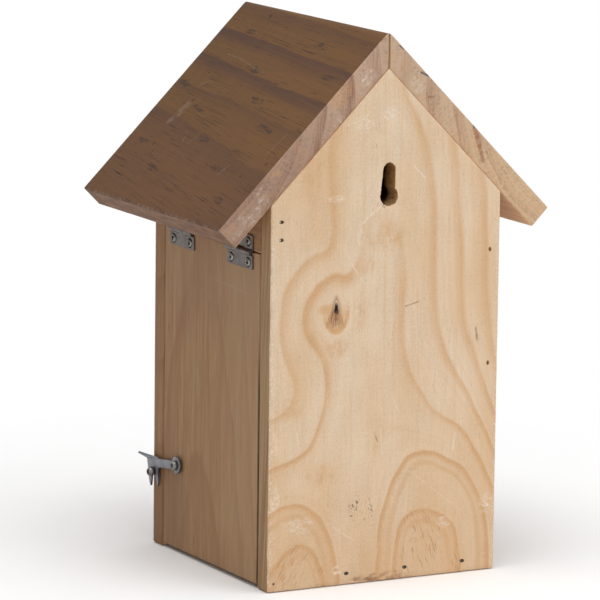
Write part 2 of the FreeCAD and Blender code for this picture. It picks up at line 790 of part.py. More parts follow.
def build():
    """Makes every sub-part and returns those that are written out."""
    back_floor, back_fixed, back_header = panel_nails("back", back_y, ALONG_BACK, True)
    front_floor, front_fixed, front_header = panel_nails("front", front_y, ALONG_FRONT, False)
    side_nail_inset = size("floor_side_nail_inset")
    side_floor = nails_and_beds(
        "fixed_side_nails", 2, "Y_Axis", inner_depth - 2 * side_nail_inset,
        x=-half_width, y=inner_front_y + side_nail_inset, z=size("board_thickness") / 2,
        rotation=ALONG_FIXED_SIDE)
    door_slope = slope_nails("door_slope_nails", ON_DOOR_SIDE)
    fixed_slope = slope_nails("fixed_slope_nails", ON_FIXED_SIDE)
    ridge = ridge_nails("ridge_nails")
    header_screws = leaf_screws("header_hinge_screws", hinge_height + size("leaf_screw_offset"))
    door_screws = leaf_screws("door_hinge_screws", hinge_height - size("leaf_screw_offset"))
    pivot, keeper = latch_screws()
    slope_beds = [door_slope[1], fixed_slope[1]]
    back_beds = [back_floor[1], back_fixed[1], back_header[1]] + slope_beds
    front_beds = [front_floor[1], front_fixed[1], front_header[1], keeper[1]] + slope_beds
    door_roof = roof_blank("roof_door_blank", ON_DOOR_SIDE)
    fixed_roof = roof_blank("roof_fixed_blank", ON_FIXED_SIDE)
    parts = [
        drilled("back_panel", back_panel_blank(), back_beds),
        drilled("front_panel", front_panel_blank(), front_beds),
        drilled("fixed_side_panel", fixed_side_blank(), [back_fixed[1], front_fixed[1], side_floor[1]]),
        drilled("door_header", header_blank(), [back_header[1], front_header[1], header_screws[1]]),
        drilled("door_panel", door_blank(), [door_screws[1], pivot[1]]),
        drilled("floor_panel", floor_blank(), [back_floor[1], front_floor[1], side_floor[1]]),
        drilled("roof_board_door_side", door_roof, [door_slope[1], ridge[1]]),
        drilled("roof_board_fixed_side", fixed_roof, [fixed_slope[1], ridge[1]]),
        gather("back_panel_nails", [back_floor[0], back_fixed[0], back_header[0]]),
        gather("front_panel_nails", [front_floor[0], front_fixed[0], front_header[0]]),
        gather("roof_nails", [door_slope[0], fixed_slope[0]]),
        side_floor[0], ridge[0], header_screws[0], door_screws[0], pivot[0], keeper[0],
        latch_hook(), latch_washer(),
    ]
    for position, y in (("front", middle_y - hinge_spacing / 2), ("rear", middle_y + hinge_spacing / 2)):
        parts += hinge(position, y, header_screws[1], door_screws[1])
    return parts


def check(parts):
    """Stops if anything failed to build or came out empty or broken."""
    for thing in doc.Objects:
        if "Invalid" in thing.State or "Error" in thing.State:
            raise ValueError(f"{thing.Label} failed: {thing.State}")
    for part in parts:
        if part.Shape.isNull() or not part.Shape.isValid() or not part.Shape.Solids:
            raise ValueError(f"{part.Label} has no sound solid")


parts = build()
doc.recompute()
check(parts)
os.makedirs("parts", exist_ok=True)
for part in parts:
    part.Shape.exportStep(f"parts/{part.Label}.step")
    print(part.Label, len(part.Shape.Solids), round(part.Shape.Volume, 2))
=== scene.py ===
import bmesh
import bpy
import numpy as np
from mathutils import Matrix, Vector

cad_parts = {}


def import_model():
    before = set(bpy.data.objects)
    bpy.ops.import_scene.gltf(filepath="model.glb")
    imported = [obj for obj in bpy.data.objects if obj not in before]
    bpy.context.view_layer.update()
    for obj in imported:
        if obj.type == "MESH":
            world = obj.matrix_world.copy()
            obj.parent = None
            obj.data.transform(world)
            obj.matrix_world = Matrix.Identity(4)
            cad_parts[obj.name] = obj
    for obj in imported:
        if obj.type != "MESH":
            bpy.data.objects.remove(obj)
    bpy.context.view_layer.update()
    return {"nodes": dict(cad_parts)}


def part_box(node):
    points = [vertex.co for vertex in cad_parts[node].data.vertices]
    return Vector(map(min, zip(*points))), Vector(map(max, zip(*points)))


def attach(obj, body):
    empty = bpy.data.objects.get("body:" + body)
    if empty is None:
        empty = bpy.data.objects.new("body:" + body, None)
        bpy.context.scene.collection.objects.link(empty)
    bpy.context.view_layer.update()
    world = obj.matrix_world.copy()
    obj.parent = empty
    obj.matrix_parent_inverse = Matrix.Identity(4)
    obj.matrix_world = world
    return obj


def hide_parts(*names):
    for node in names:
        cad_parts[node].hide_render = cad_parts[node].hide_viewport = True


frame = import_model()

# A wooden bird nest box seen from behind: a raw pine back board, stained sides and roof, a hinged side door.
# Lengths are millimetres in the shared frame: X towards the door, Y towards the wall it hangs on, Z up.

MM = 0.001
WELD = 1e-4
HAIR = 1e-6
CHANCE = np.random.default_rng(7)


def box_mm(node):
    """The lowest and highest corners of a node of the frame."""
    low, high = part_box(node)
    return np.array(low) / MM, np.array(high) / MM


def middle_mm(node):
    """The middle of a node's box."""
    low, high = box_mm(node)
    return (low + high) / 2


# Boards
back_low, back_high = box_mm("back_panel")
front_low, _ = box_mm("front_panel")
door_low, door_high = box_mm("door_panel")
roof_low, roof_high = box_mm("roof_board_door_side")
HALF_WIDTH = back_high[0]
BACK_Y = back_high[1]
FRONT_Y = front_low[1]
BOARD = BACK_Y - back_low[1]
WALL_HEIGHT = 209.0
GABLE_TOP = WALL_HEIGHT + HALF_WIDTH
ROOF_THICKNESS = 14.0
ROOF_FRONT = roof_low[1]
ROOF_BACK = roof_high[1]
RIDGE_TOP = GABLE_TOP + ROOF_THICKNESS * np.sqrt(2)
ROOF_SLOPE = 142.48
ARRIS = 0.8

# Holes
KEYHOLE_MOUTH = np.array([-0.85, 210.5])
KEYHOLE_MOUTH_RADIUS = 5.4
KEYHOLE_RISE = 14.5
KEYHOLE_HALF_SLOT = 3.7
ENTRANCE = np.array([0.0, 150.0])
ENTRANCE_RADIUS = 16.0

# Nails in the gable boards: three into the floor, three into the fixed side and two into the header
FLOOR_NAILS = [(x, 6.0) for x in (-50.0, -14.0, 22.0)]
SIDE_NAILS = [(-64.0, z) for z in (52.4, 115.0, 177.6)]
HEADER_NAILS = [(64.0, z) for z in (190.8, 200.4)]
PANEL_NAILS = FLOOR_NAILS + SIDE_NAILS + HEADER_NAILS
FLOOR_PIT = (1.5, 0.95)
SIDE_PIT = (0.8, 1.3)
HEADER_PIT = (1.5, 0.95)
PANEL_PITS = [FLOOR_PIT] * 3 + [SIDE_PIT] * 3 + [HEADER_PIT] * 2
FILLED_NAIL = 3
OPEN_NAILS = [number for number in range(8) if number != FILLED_NAIL]
# Painted shade on each nail as sunk in its pit: dark for the floor nails, less for the side nails, none for
# the header nails.
NAIL_SHADE = [0.62] * 3 + [0.34] * 3 + [0.0] * 2
NAIL_LEAN = 1.35
NAIL_PIT_DEPTH = 0.9
NAIL_HEAD_RADIUS = 0.7
NAIL_HEAD_DEPTH = 0.55
NAIL_SHANK_RADIUS = 0.6
NAIL_LENGTH = 32.0
RIDGE_NAILS = [(7.0, y) for y in (-44.0, -0.5, 43.0)]
ROOF_PIT_RADIUS = 1.45
ROOF_PIT_RIM = (ROOF_PIT_RADIUS - 0.1, ROOF_PIT_RADIUS + 0.15)
ROOF_PIT_DEPTH = 0.3
RIDGE_EASE = 0.06
DOOR_EASE = 0.9
DOOR_TAPER = 0.6

# Hinges
HINGE_AXIS = middle_mm("front_hinge_pin")[[0, 2]]
HINGE_PLACES = {"front": middle_mm("front_hinge_pin")[1], "rear": middle_mm("rear_hinge_pin")[1]}
HINGE_LENGTH = 29.0
LEAF_THICKNESS = 0.9
LEAF_REACH = 9.3
LEAF_ARRIS = 0.14
KNUCKLE_RADIUS = 1.5
KNUCKLE_BORE = 0.8
KNUCKLE_HALF_LENGTH = 4.8
KNUCKLE_PLAY = 0.25
KNUCKLE_NOTCH = 1.95
PIN_RADIUS = 0.75
LEAF_SCREW_OUT = 9.8
LEAF_SCREW_RISE = 5.6
LEAF_SCREW_RADIUS = 2.3
LEAF_SINK_RADIUS = 2.85
LEAF_SINK_STEP = 0.7
LEAF_SINK_FLARE = 0.6
LEAF_SCREW_DOME = 1.15

# Latch
PIVOT = middle_mm("latch_pivot_screw")[1:]
KEEPER = middle_mm("latch_keeper_screw")[1:]
HOOK_BACK_X = HALF_WIDTH + 1.15
HOOK_THICKNESS = 1.2
HOOK_ARRIS = 0.22
HOOK_DROOP = np.radians(7.5)
HOOK_EYE = 4.75
HOOK_HALF_ARM = 2.4
HOOK_HOLE = 1.45
HOOK_SLOT_REACH = 28.75
HOOK_SLOT_DROP = 5.0
HOOK_SLOT = 1.6
HOOK_PRONG_WIDTH = 4.0
HOOK_END = 5.2
HOOK_PRONG_LENGTH = 8.7
HOOK_FLARE = 3.0
TAB_START = 21.0
TAB_TIP = 3.4
TAB_WIDTH = 5.8
TAB_TILT = np.radians(54)
TAB_BEND = 1.0
WASHER_RADIUS = 3.2
WASHER_THICKNESS = 1.0
LATCH_HEAD_RADIUS = 2.8
LATCH_HEAD_HEIGHT = 2.4
LATCH_NECK_RADIUS = 1.4
PIVOT_DOME = 2.7
PIVOT_TURN = 0.3
KEEPER_DOME = 3.2
KEEPER_TURN = 1.0
LATCH_RECESS_HALF_WIDTH = 0.66
LEAF_RECESS_HALF_WIDTH = 0.7
RECESS_REACH = 1.8
RECESS_DEPTH = 1.1


# Shader kit

WHITE = (1.0, 1.0, 1.0, 1.0)
BLACK = (0.0, 0.0, 0.0, 1.0)


class Value:
    """A shader value: arithmetic on it adds Math nodes to its finish."""

    def __init__(self, finish, socket):
        self.finish = finish
        self.socket = socket

    def __add__(self, other):
        return self.finish.math("ADD", self, other)

    def __radd__(self, other):
        return self.finish.math("ADD", other, self)

    def __sub__(self, other):
        return self.finish.math("SUBTRACT", self, other)

    def __rsub__(self, other):
        return self.finish.math("SUBTRACT", other, self)

    def __mul__(self, other):
        return self.finish.math("MULTIPLY", self, other)

    def __rmul__(self, other):
        return self.finish.math("MULTIPLY", other, self)

    def __truediv__(self, other):
        return self.finish.math("DIVIDE", self, other)

    def __rtruediv__(self, other):
        return self.finish.math("DIVIDE", other, self)

    def __pow__(self, other):
        return self.finish.math("POWER", self, other)

    def __neg__(self):
        return self.finish.math("MULTIPLY", self, -1.0)

    def __abs__(self):
        return self.finish.math("ABSOLUTE", self, 0.0)


class Finish:
    """One procedural material, or the studio's sky, built as a tree of nodes."""

    def __init__(self, name, store="materials"):
        self.material = getattr(bpy.data, store).new(name)
        self.material.use_nodes = True
        self.tree = self.material.node_tree
        self.tree.nodes.clear()

    def node(self, kind, settings=None, sockets=None, output=0):
        """Adds a node of any type: its settings first, then its sockets' values or links."""
        node = self.tree.nodes.new(kind)
        for key, setting in (settings or {}).items():
            setattr(node, key, setting)
        for key, thing in (sockets or {}).items():
            if isinstance(thing, Value):
                self.tree.links.new(thing.socket, node.inputs[key])
            else:
                node.inputs[key].default_value = thing
        return Value(self, node.outputs[output]) if node.outputs else None

    def math(self, operation, first, second):
        """One Math node on two values."""
        return self.node("ShaderNodeMath", {"operation": operation}, {0: first, 1: second})

    def larger(self, first, second):
        """The larger of two values."""
        return self.math("MAXIMUM", first, second)

    def smaller(self, first, second):
        """The smaller of two values."""
        return self.math("MINIMUM", first, second)

    def place(self):
        """The point on the piece at rest: x, y and z in millimetres."""
        spot = self.node("ShaderNodeTexCoord", output="Object")
        scaled = self.node("ShaderNodeVectorMath", {"operation": "SCALE"}, {0: spot, "Scale": 1 / MM})
        return [self.node("ShaderNodeSeparateXYZ", sockets={0: scaled}, output=axis) for axis in range(3)]

    def own(self, name):
        """A number that the mesh carries at each of its points."""
        return self.node("ShaderNodeAttribute", {"attribute_name": name}, output="Fac")

    def seen(self):
        """1 for rays that the eye follows: straight, reflected or through glass."""
        kinds = ("Is Camera Ray", "Is Glossy Ray", "Is Transmission Ray")
        straight, reflected, through = [self.node("ShaderNodeLightPath", output=kind) for kind in kinds]
        return self.larger(self.larger(straight, reflected), through)

    def smooth(self, value, low, high):
        """Rises gently from 0 at low to 1 at high, or falls where low is the larger."""
        settings = {"interpolation_type": "SMOOTHSTEP"}
        return self.node("ShaderNodeMapRange", settings, {"Value": value, "From Min": low, "From Max": high})

    def noise(self, x, y, z, detail=2.0, roughness=0.5):
        """Soft noise from 0 to 1, about one lump for each unit of its coordinates."""
        spot = self.node("ShaderNodeCombineXYZ", sockets={0: x, 1: y, 2: z})
        sockets = {"Vector": spot, "Scale": 1.0, "Detail": detail, "Roughness": roughness}
        return self.node("ShaderNodeTexNoise", None, sockets)

    def mix(self, share, first, second, blend="MIX"):
        """Mixes two colours."""
        settings = {"data_type": "RGBA", "blend_type": blend}
        return self.node("ShaderNodeMix", settings, {0: share, 6: first, 7: second}, 2)

    def shaded(self, colour, share, tone=WHITE):
        """A colour times the given share of a tone."""
        return self.mix(1.0, colour, self.mix(share, BLACK, tone), "MULTIPLY")

    def surface(self, colour, roughness, height, relief, metallic=0.0, specular=0.5):
        """Ends the tree: a Principled surface with a bump of the given relief in millimetres."""
        bump = {"Strength": 1.0, "Distance": relief * MM, "Height": height}
        normal = self.node("ShaderNodeBump", None, bump)
        sockets = {
            "Base Color": colour, "Roughness": roughness, "Metallic": metallic, "Normal": normal,
            "Specular IOR Level": specular}
        shader = self.node("ShaderNodeBsdfPrincipled", None, sockets)
        self.node("ShaderNodeOutputMaterial", None, {"Surface": shader})
        return self.material


def srgb(red, green, blue):
    """A colour as it is seen, from 0 to 255, as the linear light that a shader takes."""
    seen = np.array([red, green, blue]) / 255
    linear = np.where(seen <= 0.04045, seen / 12.92, ((seen + 0.055) / 1.055) ** 2.4)
    return (*linear.tolist(), 1.0)


# Mesh kit

def smooth_step(value, low, high):
    """Rises gently from 0 at low to 1 at high."""
    share = np.clip((value - low) / (high - low), 0, 1)
    return share * share * (3 - 2 * share)


def unit(vectors):
    """Vectors of the same directions, each divided by its length."""
    vectors = np.asarray(vectors, float)
    return vectors / np.linalg.norm(vectors, axis=-1, keepdims=True)


def quarter_turn(steps):
    """Angles from 0 to 90 degrees."""
    return np.radians(np.linspace(0, 90, steps))


def ripple(turn, waves, seed):
    """A smooth random line from about -1 to 1 that closes on itself once turn has gone from 0 to 1."""
    chance = np.random.default_rng(seed)
    numbers = chance.integers(2, waves, 9)
    starts = chance.uniform(0, 2 * np.pi, 9)
    return np.sin(2 * np.pi * np.multiply.outer(turn, numbers) + starts).mean(-1) * 2.2


def weld(patches):
    """Joins grids of points: equal points become one, a quad with two equal corners becomes a triangle."""
    points = np.concatenate([patch.reshape(-1, patch.shape[-1]) for patch in patches])
    quads = []
    start = 0
    for patch in patches:
        rows, columns = patch.shape[:2]
        index = start + np.arange(rows * columns).reshape(rows, columns)
        corners = [index[:-1, :-1], index[:-1, 1:], index[1:, 1:], index[1:, :-1]]
        quads.append(np.stack(corners, -1).reshape(-1, 4))
        start += rows * columns
    keys = np.round(points[:, :3] / WELD).astype(np.int64)
    _, first, back = np.unique(keys, axis=0, return_index=True, return_inverse=True)
    quads = back.reshape(-1)[np.concatenate(quads)]
    same = quads == np.roll(quads, -1, 1)
    faces = quads[same.sum(1) == 0].tolist()
    for corner in range(4):
        squashed = quads[(same.sum(1) == 1) & same[:, corner]]
        faces += np.delete(squashed, corner, 1).tolist()
    return points[first], faces


def new_piece(name, patches, body, finish, replaced=()):
    """Makes one piece of the object from its grids of points, and lets it ride on its body.

    A fourth number at each point, where there is one, says how much painted shade it gets, as down in a
    recess.
    """
    points, faces = weld(patches)
    mesh = bpy.data.meshes.new(name)
    mesh.from_pydata((points[:, :3] * MM).tolist(), [], faces)
    shell = bmesh.new()
    shell.from_mesh(mesh)
    bmesh.ops.recalc_face_normals(shell, faces=shell.faces)
    shell.to_mesh(mesh)
    shell.free()
    mesh.shade_smooth()
    piece = bpy.data.objects.new(name, mesh)
    bpy.context.scene.collection.objects.link(piece)
    mesh.materials.append(finish)
    if points.shape[1] > 3:
        carry(piece, "sunk", points[:, 3])
    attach(piece, body)
    if replaced:
        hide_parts(*replaced)
    return piece


def marked(grid, mark=0.0):
    """Adds the fourth number to each point of a grid."""
    return np.concatenate([grid, np.full(grid.shape[:2] + (1,), mark)], -1)


def carry(piece, name, numbers):
    """Stores one number at each point of the piece for its finish."""
    store = piece.data.attributes.new(name, "FLOAT", "POINT")
    store.data.foreach_set("value", np.asarray(numbers, np.float32))


def points_mm(piece):
    """The points of a piece's mesh."""
    flat = np.empty(len(piece.data.vertices) * 3, np.float32)
    piece.data.vertices.foreach_get("co", flat)
    return flat.reshape(-1, 3) / MM


def lathe(profile, columns=64):
    """A surface of revolution about the local Z axis: profile rows are (radius, height)."""
    profile = np.asarray(profile, float)
    angle = np.linspace(0, 2 * np.pi, columns + 1)
    radius = profile[:, :1]
    height = np.repeat(profile[:, 1:], columns + 1, 1)
    return np.stack([radius * np.cos(angle), radius * np.sin(angle), height], -1)


def arc(centre, radius, start, end, steps):
    """Points on a circle between two angles in degrees."""
    angle = np.radians(np.linspace(start, end, steps))
    return np.stack([centre[0] + radius * np.cos(angle), centre[1] + radius * np.sin(angle)], -1)


def stand(points, origin, axis, side):
    """Turns local points so that their Z lies along axis and their X along side, then moves them."""
    axis = unit(axis)
    side = unit(side)
    turn = np.stack([side, np.cross(axis, side), axis])
    placed = points[..., :3] @ turn + np.asarray(origin, float)
    return np.concatenate([placed, points[..., 3:]], -1)


def lumps(points, wave, seed):
    """A smooth random number from about -1 to 1 at each point, with lumps about one wave long."""
    chance = np.random.default_rng(seed)
    turns = chance.normal(size=(3, 24)) * np.pi / wave
    starts = chance.uniform(0, 2 * np.pi, 24)
    return np.sin(points @ turns + starts).mean(-1) * 4


# Growth rings of the back board: each line follows one ring's sharp outer edge across the board's face

RING_LINES = [
    (2, [(33, 275), (33, 245), (33, 215), (32, 195), (36, 182.5), (45, 179.5), (53, 173), (59.5, 164),
         (62.5, 152), (63, 140), (61, 130), (57, 120), (54.5, 111), (57, 101), (65, 95), (75, 92)]),
    (2, [(-9, 266), (-16, 253), (-22, 239), (-26, 222), (-28.5, 204), (-29, 186), (-29, 168), (-29.5, 152),
         (-32.5, 134), (-37, 123), (-43, 112), (-51, 100), (-56, 90), (-63, 78), (-69, 66), (-74, 56)]),
    (1, [(75, 65), (58, 70), (48, 75), (42, 84), (38, 95), (35.5, 105), (35.5, 116), (37.5, 124), (41, 129),
         (46, 136), (49.5, 143), (49, 151), (45, 159), (38, 166), (32, 168.5), (25, 168), (20, 171),
         (15.5, 177), (14, 184), (13, 192), (8, 199), (2, 198), (-4, 192), (-8, 184), (-9.8, 172),
         (-10, 155), (-9.5, 140), (-10.5, 130), (-13.5, 117), (-20, 105), (-28, 94), (-38, 86), (-47, 80),
         (-55, 70), (-61, 60), (-67.5, 48), (-74, 36)]),
    (0, [(3, -6), (2.5, 15), (2, 30), (-1, 42), (-5, 53), (-10, 61), (-16, 67.5), (-24, 69), (-32, 67.5),
         (-40, 63.5), (-49, 58), (-55, 50), (-60, 41), (-63, 32), (-65, 20), (-66, -6)]),
    (-1, [(-6, -6), (-7, 12), (-8.5, 23), (-11.5, 31), (-17, 35.5), (-24, 37), (-32, 35), (-39, 31),
          (-44, 26), (-47, 14), (-48, -6)]),
    (0, [(76, 38), (66, 44), (57, 46.5), (48, 45), (41, 40), (36, 33), (31.5, 23), (29, 12), (28.5, -6)]),
    (-1, [(70, 8), (60, 20), (52, 24), (45, 21.5), (40, 15), (35, -2)]),
    (3, [(-40, 242), (-42, 225), (-43, 205), (-45, 190), (-46, 172), (-46.5, 155), (-49, 137), (-53, 126),
         (-58, 113), (-63, 100), (-69, 86), (-74, 76)]),
    (4, [(-58, 222), (-60, 205), (-61, 185), (-61, 165), (-62, 150), (-64, 138), (-66, 125), (-69, 113),
         (-74, 98)]),
    (0.5, [(15, 5), (15, 35), (14, 65), (14, 95), (12, 120), (2, 145), (3, 170), (20, 140), (30, 150)]),
    (1.5, [(12, 285), (14, 240), (55, 130)]),
    (2.4, [(55, 215), (62, 190), (74, 160)]),
]
FIELD_SCALE = 100.0
RING_TILT = 0.045


def thin_plate(distance):
    """The kernel of a thin bent plate."""
    return distance ** 2 * np.log(np.maximum(distance, 1e-9))


def ring_field():
    """A smooth count of rings over the board's face: a thin plate bent through all the ring lines."""
    spots = np.array([spot for _, line in RING_LINES for spot in line], float) / FIELD_SCALE
    counts = np.array([count for count, line in RING_LINES for _ in line], float)
    bend = thin_plate(np.linalg.norm(spots[:, None] - spots[None], axis=-1)) + 1e-4 * np.eye(len(spots))
    plane = np.column_stack([np.ones(len(spots)), spots])
    system = np.block([[bend, plane], [plane.T, np.zeros((3, 3))]])
    weights = np.linalg.solve(system, np.append(counts, np.zeros(3)))

    def count_at(x, z):
        """The plate's height: each spot's kernel times its weight, plus a tilted plane."""
        here = np.column_stack([x, z]) / FIELD_SCALE
        near = thin_plate(np.linalg.norm(here[:, None] - spots[None], axis=-1))
        return near @ weights[:-3] + weights[-3] + here @ weights[-2:]

    return count_at


# Gable boards

NAIL_OFFSETS = np.array([-2.0, -1.5, -1.25, -1.05, -0.7, 0.0, 0.7, 1.05, 1.25, 1.5, 2.0])
CLOSEST_LINES = 0.12
WINDOW_COLUMNS = 31
WINDOW_ROWS = 51
KEYHOLE_WINDOW = (9.0, 17.0)
ENTRANCE_WINDOW = (22.0, 22.0)
BACK_STEP = 2.1
FRONT_STEP = 3.0
BACK_SEED = 11
FRONT_SEED = 23
BACK_ROUGH = 0.5
FRONT_ROUGH = 0.3


def graded(low, high, step, marks, more):
    """Grid lines from low to high: evenly spaced, close together around each nail, more beside the hole."""
    even = np.linspace(low, high, int(round((high - low) / step)) + 1)
    close = np.append(np.add.outer(np.asarray(marks, float), NAIL_OFFSETS).ravel(), more)
    inside = close[(close > low + CLOSEST_LINES) & (close < high - CLOSEST_LINES)]
    clear = even[np.abs(even[:, None] - inside[None]).min(1) > CLOSEST_LINES] if len(inside) else even
    return np.unique(np.concatenate([[low, high], clear, inside]))


def ray_to_circle(ray, offset, radius):
    """How far along each ray from the origin a circle's far side lies, and 0 where the ray misses it."""
    along = ray @ offset
    gap = along ** 2 - np.sum(offset ** 2) + radius ** 2
    return np.where(gap > 0, along + np.sqrt(np.maximum(gap, 0)), 0)


def ray_to_line(ray, start, run):
    """How far along each ray from the origin a straight line lies that passes on its right."""
    facing = np.minimum(ray[:, 0] * run[1] - ray[:, 1] * run[0], -HAIR)
    return (start[0] * run[1] - start[1] * run[0]) / facing


def keyhole_radius(angle):
    """The keyhole's edge about its neck: a round mouth, above it a slot with a round end, one side torn."""
    neck = KEYHOLE_MOUTH + (0, np.sqrt(KEYHOLE_MOUTH_RADIUS ** 2 - KEYHOLE_HALF_SLOT ** 2))
    ray = np.stack([np.cos(angle), np.sin(angle)], -1)
    mouth = ray_to_circle(ray, KEYHOLE_MOUTH - neck, KEYHOLE_MOUTH_RADIUS)
    slot_end = KEYHOLE_MOUTH + (0, KEYHOLE_RISE) - neck
    end = ray_to_circle(ray, slot_end, KEYHOLE_HALF_SLOT)
    side = KEYHOLE_HALF_SLOT / np.maximum(np.abs(ray[:, 0]), HAIR)
    in_slot = (ray[:, 1] > 0) & (side * ray[:, 1] < slot_end[1])
    edge = np.where(ray[:, 1] > 0, np.where(in_slot, side, end), mouth)
    top = np.array([KEYHOLE_HALF_SLOT, slot_end[1]])
    flare = np.array([KEYHOLE_MOUTH_RADIUS, KEYHOLE_MOUTH[1] - neck[1]]) - top
    torn = ray_to_line(ray, top, flare)
    beside = (ray[:, 0] > 0) & (torn * ray[:, 1] < top[1]) & (torn * ray[:, 1] > top[1] + flare[1])
    return np.where(beside, np.maximum(edge, torn), edge), neck


def entrance_radius(angle):
    """The round entrance hole about its middle."""
    return np.full(len(angle), ENTRANCE_RADIUS), ENTRANCE


def rim_band(points, outward, outer_y, inner_y, seed):
    """Carries the board's edge round its rim: a worn quarter round, the edge, another quarter round."""
    inward = np.sign(inner_y - outer_y)
    thick = abs(inner_y - outer_y)
    bend = quarter_turn(6)
    near = np.stack([ARRIS * np.sin(bend), ARRIS * (1 - np.cos(bend))], -1)
    middle = np.stack([np.full(7, ARRIS), np.linspace(ARRIS, thick - ARRIS, 9)[1:-1]], -1)
    far = np.stack([near[::-1, 0], thick - near[::-1, 1]], -1)
    profile = np.concatenate([near, middle, far])
    turn = np.linspace(0, 1, len(points))
    wear = 0.1 + 0.55 * np.clip(ripple(turn, 90, seed) - 0.35, 0, 0.6)
    arris = np.zeros(len(profile))
    arris[:6] = np.sin(2 * bend)
    arris[-6:] = np.sin(2 * bend)[::-1]
    out = profile[:, :1] - arris[:, None] * wear * 0.6
    deep = profile[:, 1:] + np.where(profile[:, 1:] < thick / 2, 1, -1) * arris[:, None] * wear * 0.6
    spread = points[None] + outward[None] * out[..., None]
    depth = outer_y + inward * deep
    return np.stack([spread[..., 0], depth, spread[..., 1]], -1)


def hole_band(window, hole, outer_y, inner_y, seed, rough):
    """Carries a hole through the board: from the grid's window to the rim, down the wall, and out behind."""
    angle = np.arctan2(*(window - hole(np.zeros(1))[1]).T[::-1])
    radius, centre = hole(angle)
    ray = np.stack([np.cos(angle), np.sin(angle)], -1)
    inward = np.sign(inner_y - outer_y)
    thick = abs(inner_y - outer_y)
    turn = np.linspace(0, 1, len(window))
    radius = radius + 0.4 * rough * np.clip(ripple(turn, 36, seed + 7), -0.6, 1)
    ease = 0.3 + rough * np.clip(ripple(turn, 60, seed), -0.4, 1)
    lip = centre + ray * (radius + ease)[:, None]
    rows = [(window + (lip - window) * share, np.zeros(len(window))) for share in (0, 0.3, 0.6, 0.8, 0.92)]
    for bend in quarter_turn(6):
        spread = radius + ease * (1 - np.sin(bend))
        rows.append((centre + ray * spread[:, None], ease * (1 - np.cos(bend))))
    for share in np.linspace(0, 1, 11)[1:-1]:
        wobble = 0.12 * rough * ripple(turn, 30, seed + int(share * 50))
        rows.append((centre + ray * (radius + wobble)[:, None], ease + (thick - 2 * ease) * share))
    rows += [(spot, thick - deep) for spot, deep in rows[10::-1]]
    return np.stack([
        np.stack([spot[:, 0], outer_y + inward * deep, spot[:, 1]], -1) for spot, deep in rows])


def gable_grid(centre, window_half, step):
    """A face of a gable board as a grid that narrows to the apex.

    A point lies at a share of the half width at its height, so the grid follows the gable's slopes.
    """
    widest = HALF_WIDTH - ARRIS
    top = GABLE_TOP - ARRIS * np.sqrt(2)
    marks = np.array(PANEL_NAILS)
    beside = np.linspace(-window_half[0], window_half[0], WINDOW_COLUMNS)
    above = centre[1] + np.linspace(-window_half[1], window_half[1], WINDOW_ROWS)
    rows = graded(ARRIS, top - widest, step, marks[:, 1], above)
    rows = np.append(rows, graded(top - widest, top, step, [], above)[1:])
    columns = graded(-widest, widest, step, marks[:, 0], beside) / widest
    half = np.minimum(widest, top - rows)
    grid = np.stack([np.multiply.outer(half, columns), np.repeat(rows[:, None], len(columns), 1)], -1)
    return grid, half, rows, columns


def nail_pits(grid):
    """How deep each point of a face lies in a nail's oval pit."""
    nails = np.array(PANEL_NAILS)[OPEN_NAILS]
    away = (grid[:, :, None] - nails) / np.array(PANEL_PITS)[OPEN_NAILS]
    away = np.linalg.norm(away, axis=-1).min(-1)
    return NAIL_PIT_DEPTH * (1 - smooth_step(away, 0.75, 1.1))


def gable_board(outer_y, inner_y, hole, window_half, step, seed, rough):
    """A five-sided board: two faces as grids, pits in the outer one, one hole and a worn rim."""
    centre = hole(np.zeros(1))[1]
    grid, half, rows, columns = gable_grid(centre, window_half, step)
    pit = nail_pits(grid)
    inward = np.sign(inner_y - outer_y)
    faces = [
        np.stack([grid[..., 0], outer_y + inward * pit, grid[..., 1]], -1),
        np.stack([grid[..., 0], np.full(pit.shape, inner_y), grid[..., 1]], -1)]
    bottom, ceiling = np.searchsorted(rows, [centre[1] - window_half[1], centre[1] + window_half[1]])
    left, right = np.searchsorted(columns * half[ceiling], [-window_half[0], window_half[0]])
    patches = []
    for face in faces:
        level = face[bottom:ceiling + 1]
        patches += [face[:bottom + 1], face[ceiling:], level[:, :left + 1], level[:, right:]]
    window = np.concatenate([
        grid[bottom, left:right], grid[bottom:ceiling, right], grid[ceiling, right:left:-1],
        grid[ceiling:bottom:-1, left], grid[bottom, left:left + 1]])
    patches.append(hole_band(window, hole, outer_y, inner_y, seed + 1, rough))
    points, outward = rim_loop_on_grid(grid, half, rows)
    patches.append(rim_band(points, outward, outer_y, inner_y, seed))
    return patches


def rim_loop_on_grid(grid, half, rows):
    """The rim of the flat face through the grid's own points, anticlockwise, with outward directions."""
    eave = np.argmax(half < half[0] - WELD) - 1
    right = grid[:, -1]
    left = grid[::-1, 0]
    turn = len(rows) - 1 - eave
    sides = [
        (grid[0], -90), (right[:eave + 1], 0), (right[eave:], 45), (left[:turn + 1], 135), (left[turn:], 180)]
    points = []
    angles = []
    for (side, angle), (_, after) in zip(sides, sides[1:] + [(None, 270)]):
        swing = np.linspace(angle, after, 5)[1:-1]
        points += [side, np.repeat(side[-1:], len(swing), 0)]
        angles += [np.full(len(side), angle), swing]
    points = np.concatenate(points + [grid[0, :1]])
    angles = np.radians(np.concatenate(angles + [[270]]))
    return points, np.stack([np.cos(angles), np.sin(angles)], -1)


